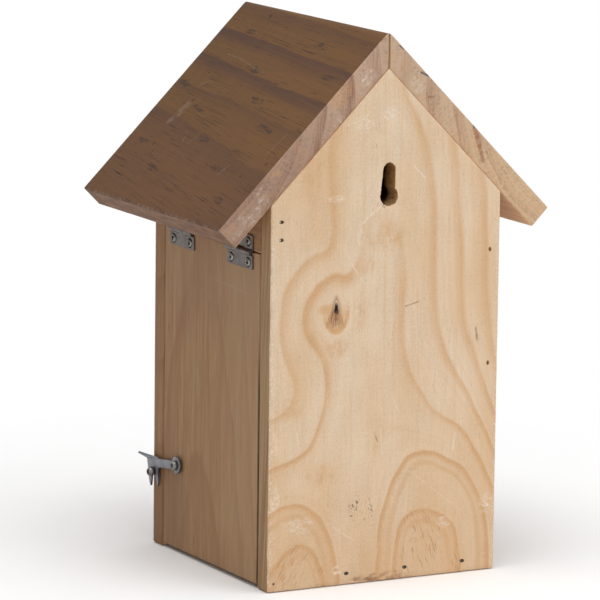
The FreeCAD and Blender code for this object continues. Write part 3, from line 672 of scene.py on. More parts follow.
def back_board(finish):
    """The raw back board with its keyhole; it carries the ring count and how fast the rings follow."""
    patches = gable_board(
        BACK_Y, BACK_Y - BOARD, keyhole_radius, KEYHOLE_WINDOW, BACK_STEP, BACK_SEED, BACK_ROUGH)
    piece = new_piece("back_board", patches, "carcass", finish, ["back_panel"])
    x, y, z = points_mm(piece).T
    count_at = ring_field()
    count = count_at(x, z)
    reach = 0.25
    slope_x = (count_at(x + reach, z) - count_at(x - reach, z)) / (2 * reach)
    slope_z = (count_at(x, z + reach) - count_at(x, z - reach)) / (2 * reach)
    carry(piece, "ring", count + (BACK_Y - y) * RING_TILT)
    carry(piece, "pace", np.maximum(np.hypot(slope_x, slope_z), 0.01))
    return piece


def front_board(finish):
    """The front board with the round entrance hole."""
    patches = gable_board(
        FRONT_Y, FRONT_Y + BOARD, entrance_radius, ENTRANCE_WINDOW, FRONT_STEP, FRONT_SEED, FRONT_ROUGH)
    return new_piece("front_board", patches, "carcass", finish, ["front_panel"])


# Planks

PLANK_TOP = 4
EDGE_SHARE = 0.42
LONG_WEAR = 9.0
SHORT_WEAR = 2.5
DOOR_STEP = 3.0
DOOR_WEAR = 0.35
DOOR_SEED = 41
ROOF_STEP = 2.2
ROOF_WEAR = 0.5
DOOR_SLOPE_SEED = 51
FIXED_SLOPE_SEED = 61


def worn_skin(skin, size, wear, seed):
    """Pulls points of a box's skin in to a box smaller by the arris, then pushes them out by the arris.

    Along the edges they are pushed out less where a smooth random number says the wood is worn.
    """
    core = np.clip(skin, ARRIS, size - ARRIS)
    out = unit(skin - core)
    edge = (1 - np.abs(out).max(-1)) / EDGE_SHARE
    worn = wear * np.clip(lumps(skin, LONG_WEAR, seed) + 0.7 * lumps(skin, SHORT_WEAR, seed + 1), 0, 1.6)
    return core + out * (ARRIS - edge * worn)[..., None]


def plank(size, step, wear, seed, pits=()):
    """A board with rounded, worn edges as six grids in its own axes, with shallow nail pits in its top."""
    size = np.asarray(size, float)
    marks = np.asarray(pits, float).reshape(-1, 2)
    bend = ARRIS * (1 - np.tan(np.radians(np.linspace(45, 0, 5))))
    lines = []
    for axis, length in enumerate(size):
        flat = graded(ARRIS, length - ARRIS, step, marks[:, axis] if axis < 2 else [], [])
        lines.append(np.unique(np.concatenate([bend, flat, length - bend])))
    patches = []
    for axis in range(3):
        first, second = [other for other in range(3) if other != axis]
        for end in (0.0, size[axis]):
            skin = np.empty((len(lines[first]), len(lines[second]), 3))
            skin[..., first] = lines[first][:, None]
            skin[..., second] = lines[second]
            skin[..., axis] = end
            patches.append(worn_skin(skin, size, wear, seed))
    if len(marks):
        top = patches[PLANK_TOP]
        away = np.linalg.norm(top[:, :, None, :2] - marks, axis=-1).min(-1)
        top[..., 2] += ROOF_PIT_DEPTH * (1 - smooth_step(away, *ROOF_PIT_RIM))
    return patches


def door_board(finish):
    """The door, a close fit between the gable boards; its rear edge draws in towards its foot."""
    low = door_low - (0, DOOR_EASE, 0)
    high = door_high + (0, DOOR_EASE, DOOR_EASE)
    patches = [patch + low for patch in plank(high - low, DOOR_STEP, DOOR_WEAR, DOOR_SEED)]
    for patch in patches:
        rear = smooth_step(patch[..., 1], high[1] - 12.0, high[1] - 1.0)
        patch[..., 1] -= DOOR_TAPER * rear * (1 - smooth_step(patch[..., 2], low[2], high[2]))
    return new_piece("door_board", patches, "door", finish, ["door_panel"])


def roof_board(node, side, nails, seed, finish):
    """One roof board: a plank laid down its slope, the upper end cut to the mitre."""
    low, high = box_mm(node)
    start = np.array([RIDGE_EASE, low[1]])
    length = ROOF_SLOPE - RIDGE_EASE
    patches = []
    pits = np.array(nails).reshape(-1, 2) - start
    size = (length, high[1] - low[1], ROOF_THICKNESS)
    for patch in plank(size, ROOF_STEP, ROOF_WEAR, seed, pits):
        deep = patch[..., 2]
        down = RIDGE_EASE + patch[..., 0] + deep * (1 - patch[..., 0] / length)
        x = side * (down - deep) * np.sqrt(0.5)
        z = np.minimum(RIDGE_TOP - (down + deep) * np.sqrt(0.5), high[2])
        patches.append(np.stack([x, low[1] + patch[..., 1], z], -1))
    return new_piece(f"{node}_worn", patches, "carcass", finish, [node])


# Nails and screws

def nail_profile():
    """Half a wire nail from its point to its slightly hollow head."""
    head = -NAIL_HEAD_DEPTH
    return [
        (0, -NAIL_LENGTH), (NAIL_SHANK_RADIUS, -NAIL_LENGTH + 2), (NAIL_SHANK_RADIUS, head - 0.6),
        (NAIL_HEAD_RADIUS, head - 0.45), (NAIL_HEAD_RADIUS, head - 0.1), (NAIL_HEAD_RADIUS - 0.1, head),
        (NAIL_HEAD_RADIUS * 0.6, head - 0.03), (0, head - 0.06)]


def panel_nails(name, face_y, outwards, finish, node):
    """The eight nails of one gable board, heads towards its face, some with more painted shade than others.
    """
    nail = lathe(nail_profile(), 24)
    patches = []
    for (x, z), (wide, high), shade_share in zip(PANEL_NAILS, PANEL_PITS, NAIL_SHADE):
        off = NAIL_LEAN * max(wide - high, 0.0)
        patches.append(stand(marked(nail, shade_share), (x + off, face_y, z), (0, outwards, 0), (1, 0, 0)))
    piece = new_piece(name, patches, "carcass", finish, [node])
    carry(piece, "rust", points_mm(piece)[:, 0] < SIDE_NAILS[0][0] + 2)
    return piece


def cross_recess(points, top, width):
    """Sinks a driver's cross into a screw's head: two crossing slots, shallower towards their ends, marked
    for painted shade.
    """
    across = np.abs(points[..., 0])
    along = np.abs(points[..., 1])

    def slot(wide, long):
        """1 inside one slot, fading out at its sides and towards its ends."""
        inside = 1 - smooth_step(wide, width - 0.1, width + 0.12)
        return inside * (1 - smooth_step(long, RECESS_REACH * 0.5, RECESS_REACH))

    sunk = np.maximum(slot(across, along), slot(along, across)) * (points[..., 2] > top)
    deeper = points.copy()
    deeper[..., 2] -= RECESS_DEPTH * sunk
    return np.concatenate([deeper, sunk[..., None]], -1)


def leaf_screw():
    """A hinge screw: a raised, flattened dome with a cross recess over a cone and a shank with a point."""
    radius = np.linspace(LEAF_SCREW_RADIUS - 0.12, 0, 26)
    share = radius / LEAF_SCREW_RADIUS
    dome = np.stack([radius, LEAF_SCREW_DOME * (1 - share ** 4) + 0.02], -1)
    below = [
        (0, -9.5), (0.5, -9.0), (1.2, -7.6), (1.2, -1.15),
        (LEAF_SCREW_RADIUS, -0.22), (LEAF_SCREW_RADIUS, -0.06)]
    return cross_recess(lathe(np.concatenate([below, dome]), 72), 0.0, LEAF_RECESS_HALF_WIDTH)


def hinge_screws(name, rise, body, finish, node):
    """The four screws of one row of leaves, each with its recess turned its own way."""
    patches = []
    head = leaf_screw()
    x = HALF_WIDTH + LEAF_THICKNESS - 0.05
    for place in HINGE_PLACES.values():
        for out in (-LEAF_SCREW_OUT, LEAF_SCREW_OUT):
            turn = CHANCE.uniform(0, np.pi / 2)
            side = (0, np.cos(turn), np.sin(turn))
            patches.append(stand(head, (x, place + out, HINGE_AXIS[1] + rise), (1, 0, 0), side))
    return new_piece(name, patches, body, finish, [node])


def latch_screw(name, node, spot, body, height, turn, finish):
    """A round-head screw: a domed head with a cross recess on a smooth neck, with a pointed shank."""
    under = box_mm(node)[1][0] - HALF_WIDTH - LATCH_HEAD_HEIGHT
    bend = quarter_turn(40)
    dome = np.stack([
        LATCH_HEAD_RADIUS * np.cos(bend) ** 0.9, under + 0.55 + (height - 0.55) * np.sin(bend)], -1)
    below = [
        (0, -9.5), (0.5, -9.0), (LATCH_NECK_RADIUS, -7.4), (LATCH_NECK_RADIUS, under),
        (LATCH_HEAD_RADIUS - 0.25, under), (LATCH_HEAD_RADIUS, under + 0.2)]
    head = cross_recess(lathe(np.concatenate([below, dome]), 120), under + 0.9, LATCH_RECESS_HALF_WIDTH)
    side = (0, np.cos(turn), np.sin(turn))
    patch = stand(head, (HALF_WIDTH, *spot), (1, 0, 0), side)
    return new_piece(name, [patch], body, finish, [node])


# Flat stampings

def filleted(corners):
    """A closed outline through corners of (x, y, radius): each corner is an arc that touches both sides."""
    corners = np.asarray(corners, float)
    spots = corners[:, :2]
    before = unit(np.roll(spots, 1, 0) - spots)
    after = unit(np.roll(spots, -1, 0) - spots)
    points = []
    for spot, back, forth, radius in zip(spots, before, after, corners[:, 2]):
        half = np.arccos(np.clip(back @ forth, -1, 1)) / 2
        if radius <= 0 or half > 1.55:
            points.append(spot[None])
            continue
        centre = spot + unit(back + forth) * radius / np.sin(half)
        start = spot + back * radius / np.tan(half) - centre
        end = spot + forth * radius / np.tan(half) - centre
        share = np.linspace(0, 1, 9)[:, None]
        swing = np.arccos(np.clip(start @ end / radius ** 2, -1, 1))
        blend = (np.sin((1 - share) * swing) * start + np.sin(share * swing) * end) / np.sin(swing)
        points.append(centre + blend)
    return np.concatenate(points)


def loop_normals(loop):
    """Directions square to a closed loop, on its right-hand side."""
    ahead = unit(np.roll(loop, -1, 0) - np.roll(loop, 1, 0))
    return np.stack([ahead[:, 1], -ahead[:, 0]], -1)


def edge_band(loop, thickness, arris, flare=0.0):
    """Carries a rounded edge along a closed loop; flare widens a hole's front edge into a countersink."""
    bend = quarter_turn(5)
    near = np.stack([-arris * (1 - np.sin(bend)), thickness - arris * (1 - np.cos(bend))], -1)
    far = np.stack([near[::-1, 0], thickness - near[::-1, 1]], -1)
    profile = np.concatenate([near, far])
    profile[:, 0] -= flare * (profile[:, 1] / thickness)
    closed = np.append(np.arange(len(loop)), 0)
    normals = loop_normals(loop)[closed]
    spread = loop[closed][None] + normals[None] * profile[:, :1, None]
    return np.concatenate([spread, np.repeat(profile[:, 1:, None], len(closed), 1)], -1)


def fill(loops, height):
    """Fills the flat between an outline and its holes with triangles, as one grid for each triangle."""
    sheet = bmesh.new()
    for loop in loops:
        corners = [sheet.verts.new((*spot, height)) for spot in loop.tolist()]
        for first, second in zip(corners, corners[1:] + corners[:1]):
            sheet.edges.new((first, second))
    bmesh.ops.triangle_fill(sheet, use_beauty=True, edges=sheet.edges[:])
    triangles = np.array([[corner.co[:] for corner in face.verts] for face in sheet.faces])
    sheet.free()
    return [np.stack([[one, two], [three, three]]) for one, two, three in triangles]


def stamping(outline, holes, thickness, arris, flare=0.0):
    """A flat piece of sheet metal: rounded edges along its outline and holes, and both flats."""
    bands = [edge_band(outline, thickness, arris)]
    bands += [edge_band(hole[::-1], thickness, arris, flare) for hole in holes]
    front = [band[0, :-1, :2] for band in bands]
    back = [band[-1, :-1, :2] for band in bands]
    grids = bands + fill(front, thickness) + fill(back, 0.0)
    sheets = [marked(grid) for grid in grids]
    # The hole walls are marked for painted shade, as in a countersink.
    for band in sheets[1:len(bands)]:
        band[1:-1, :, 3] = 1.0
    return sheets


def leaf_to_space(points, place, direction):
    """From a leaf's own plane (along, away from the pin, off the wood) into the frame."""
    return np.stack([
        HALF_WIDTH + points[..., 2], place + points[..., 0], HINGE_AXIS[1] + direction * points[..., 1],
        points[..., 3]], -1)


def knuckle(start, end):
    """One rolled knuckle along the pin: a tube with rounded rims and the roll's seam as a shallow groove."""
    rim = 0.18
    bend = quarter_turn(5)
    outer_start = np.stack([KNUCKLE_RADIUS - rim * (1 - np.sin(bend)), start + rim * (1 - np.cos(bend))], -1)
    outer_end = np.stack([outer_start[::-1, 0], start + end - outer_start[::-1, 1]], -1)
    inner = np.array([(KNUCKLE_BORE, end), (KNUCKLE_BORE, start), outer_start[0]])
    tube = lathe(np.concatenate([outer_start, outer_end, inner]), 48)
    angle = np.arctan2(tube[..., 1], tube[..., 0])
    seam = np.exp(-((angle - 0.6) / 0.12) ** 2) * (np.hypot(tube[..., 0], tube[..., 1]) > KNUCKLE_BORE + 0.1)
    tube[..., :2] *= (1 - 0.09 * seam)[..., None]
    return tube


def leaf_outline(is_fixed):
    """A leaf's outline and its knuckles' runs along the pin: both ends if it is fixed, or else the middle."""
    half = HINGE_LENGTH / 2
    gap = KNUCKLE_HALF_LENGTH + (KNUCKLE_PLAY if is_fixed else 0)
    far = [(half, LEAF_REACH, 0.6), (-half, LEAF_REACH, 0.6)]
    if is_fixed:
        near = [
            (-half, 0, 0), (-gap, 0, 0), (-gap, KNUCKLE_NOTCH, 0.2), (gap, KNUCKLE_NOTCH, 0.2), (gap, 0, 0),
            (half, 0, 0)]
        runs = [(-half, -gap), (gap, half)]
    else:
        near = [
            (-half, KNUCKLE_NOTCH, 0.2), (-gap, KNUCKLE_NOTCH, 0.2), (-gap, 0, 0), (gap, 0, 0),
            (gap, KNUCKLE_NOTCH, 0.2), (half, KNUCKLE_NOTCH, 0.2)]
        runs = [(-gap, gap)]
    return filleted(near + far), runs


def hinge_leaf(position, is_fixed, finish):
    """One leaf: a stamped plate with two countersunk holes, and its knuckles."""
    place = HINGE_PLACES[position]
    direction = 1 if is_fixed else -1
    outline, runs = leaf_outline(is_fixed)
    sunk = LEAF_SINK_RADIUS - LEAF_SINK_STEP
    holes = [arc((side * LEAF_SCREW_OUT, LEAF_SCREW_RISE), sunk, 0, 345, 24) for side in (-1, 1)]
    plate = stamping(outline, holes, LEAF_THICKNESS, LEAF_ARRIS, LEAF_SINK_FLARE)
    patches = [leaf_to_space(patch, place, direction) for patch in plate]
    axis = (HINGE_AXIS[0], place, HINGE_AXIS[1])
    tubes = [stand(knuckle(start, end), axis, (0, 1, 0), (1, 0, 0)) for start, end in runs]
    patches += [marked(tube) for tube in tubes]
    body = "carcass" if is_fixed else "door"
    name = f"{position}_hinge_{'fixed' if is_fixed else 'door'}_leaf"
    return new_piece(f"{name}_stamped", patches, body, finish, [name])


def hinge_pin(position, finish):
    """The pin with slightly domed ends."""
    half = HINGE_LENGTH / 2
    side = [(PIN_RADIUS, -half + 0.25), (PIN_RADIUS, half - 0.25)]
    start = [(0, -half), (PIN_RADIUS * 0.6, -half + 0.05), (PIN_RADIUS * 0.9, -half + 0.14)]
    end = [(radius, -height) for radius, height in start[::-1]]
    axis = (HINGE_AXIS[0], HINGE_PLACES[position], HINGE_AXIS[1])
    patch = stand(lathe(start + side + end, 32), axis, (0, 1, 0), (1, 0, 0))
    node = f"{position}_hinge_pin"
    return new_piece(f"{node}_turned", [patch], "carcass", finish, [node])


# Latch

def hook_to_space(points):
    """From the hook's own plane (reach from the pivot, rise, off the wood) into the frame, drooping."""
    reach = points[..., 0]
    rise = points[..., 1]
    y = PIVOT[0] - reach * np.cos(HOOK_DROOP) - rise * np.sin(HOOK_DROOP)
    z = PIVOT[1] - reach * np.sin(HOOK_DROOP) + rise * np.cos(HOOK_DROOP)
    return np.concatenate([np.stack([HOOK_BACK_X + points[..., 2], y, z], -1), points[..., 3:]], -1)


def hook_outline():
    """The hook's flat: a round eye, a straight arm, and a fork of two leaf-shaped prongs."""
    neck = np.sqrt(HOOK_EYE ** 2 - HOOK_HALF_ARM ** 2)
    swing = np.degrees(np.arctan2(HOOK_HALF_ARM, neck))
    eye = [(*spot, 0.0) for spot in arc((0, 0), HOOK_EYE, swing, 360 - swing, 40)]
    inner = HOOK_SLOT_REACH - HOOK_SLOT - HOOK_PRONG_WIDTH
    outer = HOOK_SLOT_REACH + HOOK_SLOT + HOOK_END
    tip = -HOOK_SLOT_DROP - HOOK_PRONG_LENGTH
    fork = [
        (inner, -HOOK_HALF_ARM, 2.2), (inner, tip + HOOK_FLARE, 6.0),
        (HOOK_SLOT_REACH - HOOK_SLOT - HOOK_FLARE, tip, 0.3),
        (HOOK_SLOT_REACH - HOOK_SLOT, -HOOK_SLOT_DROP, 1.0)]
    seat = [(*spot, 0.0) for spot in arc((HOOK_SLOT_REACH, -HOOK_SLOT_DROP), HOOK_SLOT, 165, 15, 15)]
    end = [
        (HOOK_SLOT_REACH + HOOK_SLOT, -HOOK_SLOT_DROP - HOOK_SLOT, 1.5),
        (HOOK_SLOT_REACH + HOOK_SLOT + 0.85 * HOOK_FLARE, tip, 0.3),
        (outer - 1.1, tip + 1.4 * HOOK_FLARE, 8.0), (outer, HOOK_HALF_ARM, 0.5)]
    return filleted(eye + fork + seat + end)


def thumb_tab():
    """A wing bent out of the flat's top edge: straight lines from the edge to its rim, bent on an arc."""
    outer = HOOK_SLOT_REACH + HOOK_SLOT + HOOK_END
    tip = outer + TAB_TIP
    u = np.linspace(0, 1, 40)
    v = np.linspace(0, 1, 16)
    root = TAB_START + (outer - TAB_START) * u
    knots = np.array([0, 0.5, 0.86, 0.96, 1.0])
    rim_reach = np.interp(u, knots, [TAB_START, (TAB_START + tip) / 2, tip - 1.9, tip - 0.5, tip])
    rim_rise = np.interp(u, knots, [0.0, TAB_WIDTH * 0.5, TAB_WIDTH * 0.98, TAB_WIDTH, TAB_WIDTH * 0.8])
    reach = root[:, None] + (rim_reach - root)[:, None] * v
    along = rim_rise[:, None] * v
    angle = np.minimum(along / TAB_BEND, TAB_TILT)
    beyond = np.maximum(along - TAB_BEND * TAB_TILT, 0)
    up = HOOK_HALF_ARM - 0.25 + TAB_BEND * np.sin(angle) + beyond * np.cos(angle)
    out = HOOK_THICKNESS / 2 + TAB_BEND * (1 - np.cos(angle)) + beyond * np.sin(angle)
    half = HOOK_THICKNESS * (0.5 - 0.14 * smooth_step(along, 0.5, TAB_WIDTH))
    front = np.stack([reach, up - half * np.sin(angle), out + half * np.cos(angle)], -1)
    back = np.stack([reach, up + half * np.sin(angle), out - half * np.cos(angle)], -1)
    rims = [
        (front[:, -1], back[:, -1]), (front[-1], back[-1]), (front[0], back[0]), (front[:, 0], back[:, 0])]
    return [marked(grid) for grid in [front, back] + [np.stack(rim) for rim in rims]]


def latch_hook(finish):
    """The whole hook: its stamped flat with the pivot hole, and its thumb tab."""
    hole = arc((0, 0), HOOK_HOLE, 0, 345, 24)
    patches = stamping(hook_outline(), [hole], HOOK_THICKNESS, HOOK_ARRIS)
    patches = [hook_to_space(patch) for patch in patches + thumb_tab()]
    return new_piece("latch_hook_stamped", patches, "latch", finish, ["latch_hook"])


def latch_washer(finish):
    """A plain washer with rounded rims."""
    rim = 0.2
    inner = LATCH_NECK_RADIUS + 0.02
    thick = WASHER_THICKNESS
    profile = [
        (inner, 0), (WASHER_RADIUS - rim, 0), (WASHER_RADIUS, rim), (WASHER_RADIUS, thick - rim),
        (WASHER_RADIUS - rim, thick), (inner + rim, thick), (inner, thick - rim), (inner, 0)]
    patch = stand(lathe(profile, 48), (HALF_WIDTH, *PIVOT), (1, 0, 0), (0, 1, 0))
    return new_piece("latch_washer_turned", [patch], "door", finish, ["latch_washer"])


# Wood finishes

RAW_PALE = srgb(222, 199, 172)
RAW_TAN = srgb(205, 163, 120)
RAW_WARM = srgb(216, 186, 151)
STAIN_LIGHT = srgb(159, 128, 92)
STAIN_WARM = srgb(150, 112, 80)
STAIN_PALE = srgb(168, 138, 106)
STAIN_DARK = srgb(140, 101, 66)
# Brown painted shade for the door's lower front corner.
DOOR_SHADE_BROWN = srgb(124, 92, 66)
STAIN_DEEP = srgb(124, 90, 60)
# Near-black painted shade for the gaps beside the door.
JOINT_SHADE_DARK = srgb(58, 40, 28)
PORE_BROWN = srgb(84, 60, 42)
# Painted shade tone that darkens the header under the eave and the front board.
SHELTER_SHADE = (0.88, 0.83, 0.79, 1.0)
ROOF_LIGHT = srgb(107, 74, 41)
ROOF_LOW = srgb(101, 68, 46)
ROOF_DARK = srgb(80, 50, 31)
SCUFF_WHITE = srgb(236, 226, 212)
# Dark specks, and painted shade in the floor and header nail pits.
SPECK_AND_SHADE_BLACK = srgb(46, 31, 22)
KNOT_BLACK = srgb(17, 11, 8)
KNOT_BROWN = srgb(116, 66, 36)
KNOT_ORANGE = srgb(196, 146, 88)
SLOT_SHADE_BROWN = srgb(122, 74, 40)
FLECK_BROWN = srgb(168, 120, 80)
LIP_HIGHLIGHT_GOLD = srgb(220, 182, 128)


def fibres(finish, across, deep, along):
    """Fine lines along the grain: narrow noise drawn out lengthwise, with broader streaks between."""
    fine = finish.noise(across / 0.5, deep / 0.5, along / 30, 3.0, 0.6)
    broad = finish.noise(across / 3.2, deep / 3.2, along / 110)
    return fine, broad


def pores(finish, across, deep, along, length, amount):
    """Short dark dashes along the grain: drawn-out noise plus a share of a slow one, above a limit."""
    dash = finish.noise(across / 0.55, deep / 0.55, along / length, 1.0, 0.5)
    patch = finish.noise(across / 14, deep / 14, along / 30, 1.0, 0.5)
    return finish.smooth(dash + 0.35 * patch, 0.93 - amount, 1.0 - amount)


def blob(finish, x, z, spot, size, core=0.2):
    """A soft oval patch: 1 within its core, a share of the squared reach, fading to 0 at its edge."""
    across = (x - spot[0]) / size[0]
    up = (z - spot[1]) / size[1]
    return finish.smooth(across * across + up * up, 1.0, core)


def blobs(finish, x, z, places, core=0.2):
    """Several soft patches, each given by its spot and size: the largest of them at each point."""
    marks = 0.0
    for spot, size in places:
        marks = finish.larger(blob(finish, x, z, spot, size, core), marks)
    return marks


def back_rings(finish, x, z):
    """The ring lines from the board's ring count: a soft outer edge, then a longer fade inwards."""
    wobble = finish.noise(x / 9, 3.0, z / 34) - 0.5
    pace = finish.own("pace")
    count = finish.own("ring") + pace * wobble * 2.4
    share = finish.math("FRACT", count, 0.0)
    outside = share / pace
    inside = (1.0 - share) / pace
    upper = finish.smooth(z, 90.0, 150.0)
    core = finish.smooth(inside, 3.4 + 2.0 * upper, 0.3)
    fade = finish.smooth(inside, 12.0, 1.0)
    low = finish.smooth(z, 100.0, 60.0)
    double = finish.smooth(abs(inside - 6.5), 2.4, 0.4) * finish.smooth(count, 0.2, -0.1)
    edge = finish.smooth(outside, 1.5 + 2.2 * upper, 0.0)
    ragged = finish.noise(x / 3, 11.0, z / 7, 2.0, 0.6)
    pencil = finish.smooth(finish.smaller(inside, outside), 0.8, 0.1) * finish.smooth(ragged, 0.4, 0.6)
    line = finish.larger(edge, 0.6 * core + 0.3 * fade + 0.35 * double) + (0.12 + 0.3 * low) * pencil
    patchy = finish.noise(x / 26, 7.0, z / 40, 1.0, 0.5)
    faint = blob(finish, x, z, *FAINT_RINGS)
    strength = (0.3 + 0.75 * patchy + 0.42 * low) * (1.0 - 0.7 * faint)
    strength = strength * (1.0 + 0.7 * blob(finish, x, z, KNOT, KNOT_PULL))
    follow = finish.noise(count * 8, 0.0, z / 160, 2.0, 0.6)
    return line * strength * (0.56 + 0.5 * follow + 0.4 * ragged), count, follow


KNOT = (30.4, 151.8)
KNOT_PULL = (26.0, 30.0)
KNOT_HALO = (15.0, 19.0)
KNOT_SMEAR = ((35.4, 151.5), (8.0, 4.0))
KNOT_CHIP = ((30.4, 155.5), (0.6, 0.9))
FAINT_RINGS = ((2.0, 194.0), (30.0, 40.0))
KNOT_FAN = 7.0
KNOT_FOOT = 12.0


def knot(finish, x, z):
    """The knot: a black wedge of a heart, brown lines that fan down to a warm foot, and a pale halo."""
    off = x - KNOT[0]
    under = KNOT[1] + KNOT_FAN - z
    ragged = finish.noise(x / 0.9, 5.0, z / 2.2, 3.0, 0.6) - 0.5
    wedge = abs(off + 0.5 * ragged) / finish.larger(0.17 * under + 0.35 * ragged, 0.2)
    heart = finish.smooth(wedge, 1.1, 0.7) * finish.smooth(abs(under - KNOT_FAN + 9.0 * ragged), 3.2, 1.8)
    thread = finish.smooth(abs(off + 0.9 * ragged), 1.3, 0.2) * finish.smooth(abs(under - 3.0), 4.5, 1.0)
    fan = off / finish.larger(under, 0.5)
    streak = finish.noise(fan * 21, 9.0, under / 7, 3.0, 0.65)
    within = finish.smooth(abs(fan - 0.04), 0.42, 0.24) * finish.smooth(under, 5.0, 8.0)
    within = within * finish.smooth(under + 5.0 * ragged, KNOT_FAN + KNOT_FOOT, KNOT_FAN + 0.6 * KNOT_FOOT)
    brown = finish.larger(within * (0.3 + 0.7 * finish.smooth(streak, 0.46, 0.58)), 0.7 * thread)
    near = blob(finish, x, z, (KNOT[0], KNOT[1] - 1.0), (3.6, 9.0)) * (0.5 + 1.2 * ragged)
    brown = finish.larger(brown, near)
    oval = (off / 7.5) * (off / 7.5) + ((z - KNOT[1] + 1.0) / KNOT_FOOT) * ((z - KNOT[1] + 1.0) / KNOT_FOOT)
    rim = finish.smooth(abs(oval + 0.5 * ragged - 0.9), 0.5, 0.1)
    foot = rim * finish.smooth(z - KNOT[1] + 0.35 * off, 4.0, -8.0)
    glow = finish.smooth(oval, 1.1, 0.3) * finish.smooth(under, 3.0, 12.0)
    halo = blob(finish, x, z, KNOT, KNOT_HALO)
    smear = blob(finish, x + 4.0 * ragged, z, *KNOT_SMEAR, 0.0)
    warm = finish.larger(foot * (0.8 + 1.5 * ragged), finish.larger(0.65 * glow, 0.6 * smear))
    return heart, brown, warm, halo


def strokes(finish, across, up, lines):
    """Straight marks from one spot to another: 1 near the closest point of the line, 0 past its width."""
    marks = 0.0
    for start, end, width in lines:
        run = np.subtract(end, start)
        off = across - start[0]
        rise = up - start[1]
        share = (off * float(run[0]) + rise * float(run[1])) / float(run @ run)
        share = finish.smaller(finish.larger(share, 0.0), 1.0)
        off = off - share * float(run[0])
        rise = rise - share * float(run[1])
        mark = finish.smooth(off * off + rise * rise, width * width, 0.1 * width * width)
        marks = finish.larger(mark, marks)
    return marks


def scratches(finish, across, up, lines):
    """Thin straight marks times a slow noise, so that they fade in and out along their length."""
    broken = finish.smooth(finish.noise(across / 5, 4.0, up / 5), 0.3, 0.62)
    return strokes(finish, across, up, lines) * broken


def chalk(finish, across, up, patches):
    """Rubbed pale patches: soft ovals times a ragged noise, with crossing fine streaks in them."""
    one = finish.noise((across + up) / 5, 1.0, (across - up) / 0.7, 2.0, 0.6)
    two = finish.noise((across - 0.3 * up) / 6, 5.0, (up + 0.3 * across) / 0.7, 2.0, 0.6)
    streaks = finish.smooth(finish.larger(one, two), 0.52, 0.68)
    ragged = finish.smooth(finish.noise(across / 3, 8.0, up / 3, 2.0, 0.6), 0.36, 0.6)
    return blobs(finish, across, up, patches) * ragged * (0.15 + 0.85 * streaks)


def fine_scuffs(finish, across, along, turn, seed, amount):
    """Short pale scratches: very thin noise laid at an angle, let through in a few places only."""
    cosine = float(np.cos(turn))
    sine = float(np.sin(turn))
    run = across * cosine + along * sine
    width = along * cosine - across * sine
    line = finish.noise(run / 9, seed, width / 0.45, 1.0, 0.4)
    where = finish.noise(across / 15, seed + 3.0, along / 15, 2.0, 0.6)
    return finish.smooth(line, 0.66, 0.74) * finish.smooth(where, 0.64 - amount, 0.74 - amount)


BACK_SCUFFS = [
    ((12, 256), (21, 246), 0.45), ((15, 253), (25, 250), 0.4), ((27, 211), (35, 210), 0.6),
    ((-15, 60), (-48, 35), 0.22), ((31, 33), (18, 24), 0.3), ((-16, 226), (-23, 219), 0.4),
    ((16, 196), (3, 206), 0.4), ((13, 199), (6, 205), 0.35), ((2, 84), (1, 70), 0.3),
    ((-44, 78), (-43, 69), 0.7), ((54, 88), (52, 79), 0.4), ((22, 176), (12, 162), 0.3),
    ((-31, 120), (-29, 106), 0.3), ((17.5, 191), (17, 185), 0.5), ((-4, 102), (-9, 92), 0.25)]
BACK_CHALK = [
    ((0, 255), (7, 4)), ((51, 35), (10, 6)), ((-64, 37), (6, 7)), ((31, 211), (6, 2.5)), ((15, 250), (8, 6)),
    ((-38, 29), (6, 4)), ((66, 50), (4, 10)), ((16, 189), (3, 6)), ((28, 8), (4, 4)), ((67, 80), (3, 9))]
BACK_GOLD = [
    ((30, 130), (10, 7)), ((16, 148), (6, 13)), ((1, 189), (17, 10)), ((59, 99), (10, 8)),
    ((13, 174), (8, 6)), ((46, 235), (8, 30)), ((40, 62), (14, 9))]
BACK_BRUISES = [
    ((-56, 135), (-57, 128), 0.9), ((-12, 150), (-20, 152), 0.45), ((3, 1.5), (17, 2.5), 1.4),
    ((6, 82), (4, 77), 0.5), ((4.3, 206.7), (2.9, 204.9), 0.4), ((3.1, 206.5), (1.7, 204.5), 0.4)]


def back_finish():
    """Raw pine with soft rings, a knot, resin dashes inside the arches, specks, scuffs and stained edges."""
    finish = Finish("raw_pine_back")
    x, y, z = finish.place()
    late, count, follow = back_rings(finish, x, z)
    fine, broad = fibres(finish, x, y, z)
    colour = back_ground(finish, x, y, z, broad)
    colour = finish.mix(0.2 * finish.smooth(follow, 0.45, 0.8), colour, RAW_TAN)
    colour = finish.mix(late, colour, RAW_TAN)
    saw = finish.noise(x / 9, y / 9, z / 0.55, 2.0, 0.6)
    strand = finish.noise(x / 1.3, y / 1.3, z / 16, 2.0, 0.6)
    speckle = finish.noise(x / 1.0, y / 1.0, z / 1.6, 2.0, 0.7)
    colour = finish.mix(0.17 * finish.smooth(strand, 0.44, 0.7), colour, RAW_TAN)
    cloud = finish.noise(x / 13, y / 13, z / 17, 3.0, 0.6)
    grain = 0.57 + 0.15 * fine + 0.1 * saw + 0.36 * speckle + 0.16 * cloud
    grain = grain + 0.035 * finish.smooth(x, -20.0, -42.0)
    colour = finish.shaded(colour, grain)
    colour = back_marks(finish, colour, x, y, z, count)
    colour, heart = back_knot(finish, colour, x, z)
    scratch = back_scratches(finish, x, z, speckle)
    rubbed = chalk(finish, x, z, BACK_CHALK)
    colour = finish.mix(finish.larger(0.45 * scratch, 0.75 * rubbed), colour, SCUFF_WHITE)
    colour = hollows(finish, colour, x, y, z)
    height = 0.5 * fine + 0.2 * saw + 0.25 * late - 1.5 * heart - 0.4 * scratch
    return finish.surface(colour, 0.66 - 0.1 * late, height, 0.1, specular=0.25)


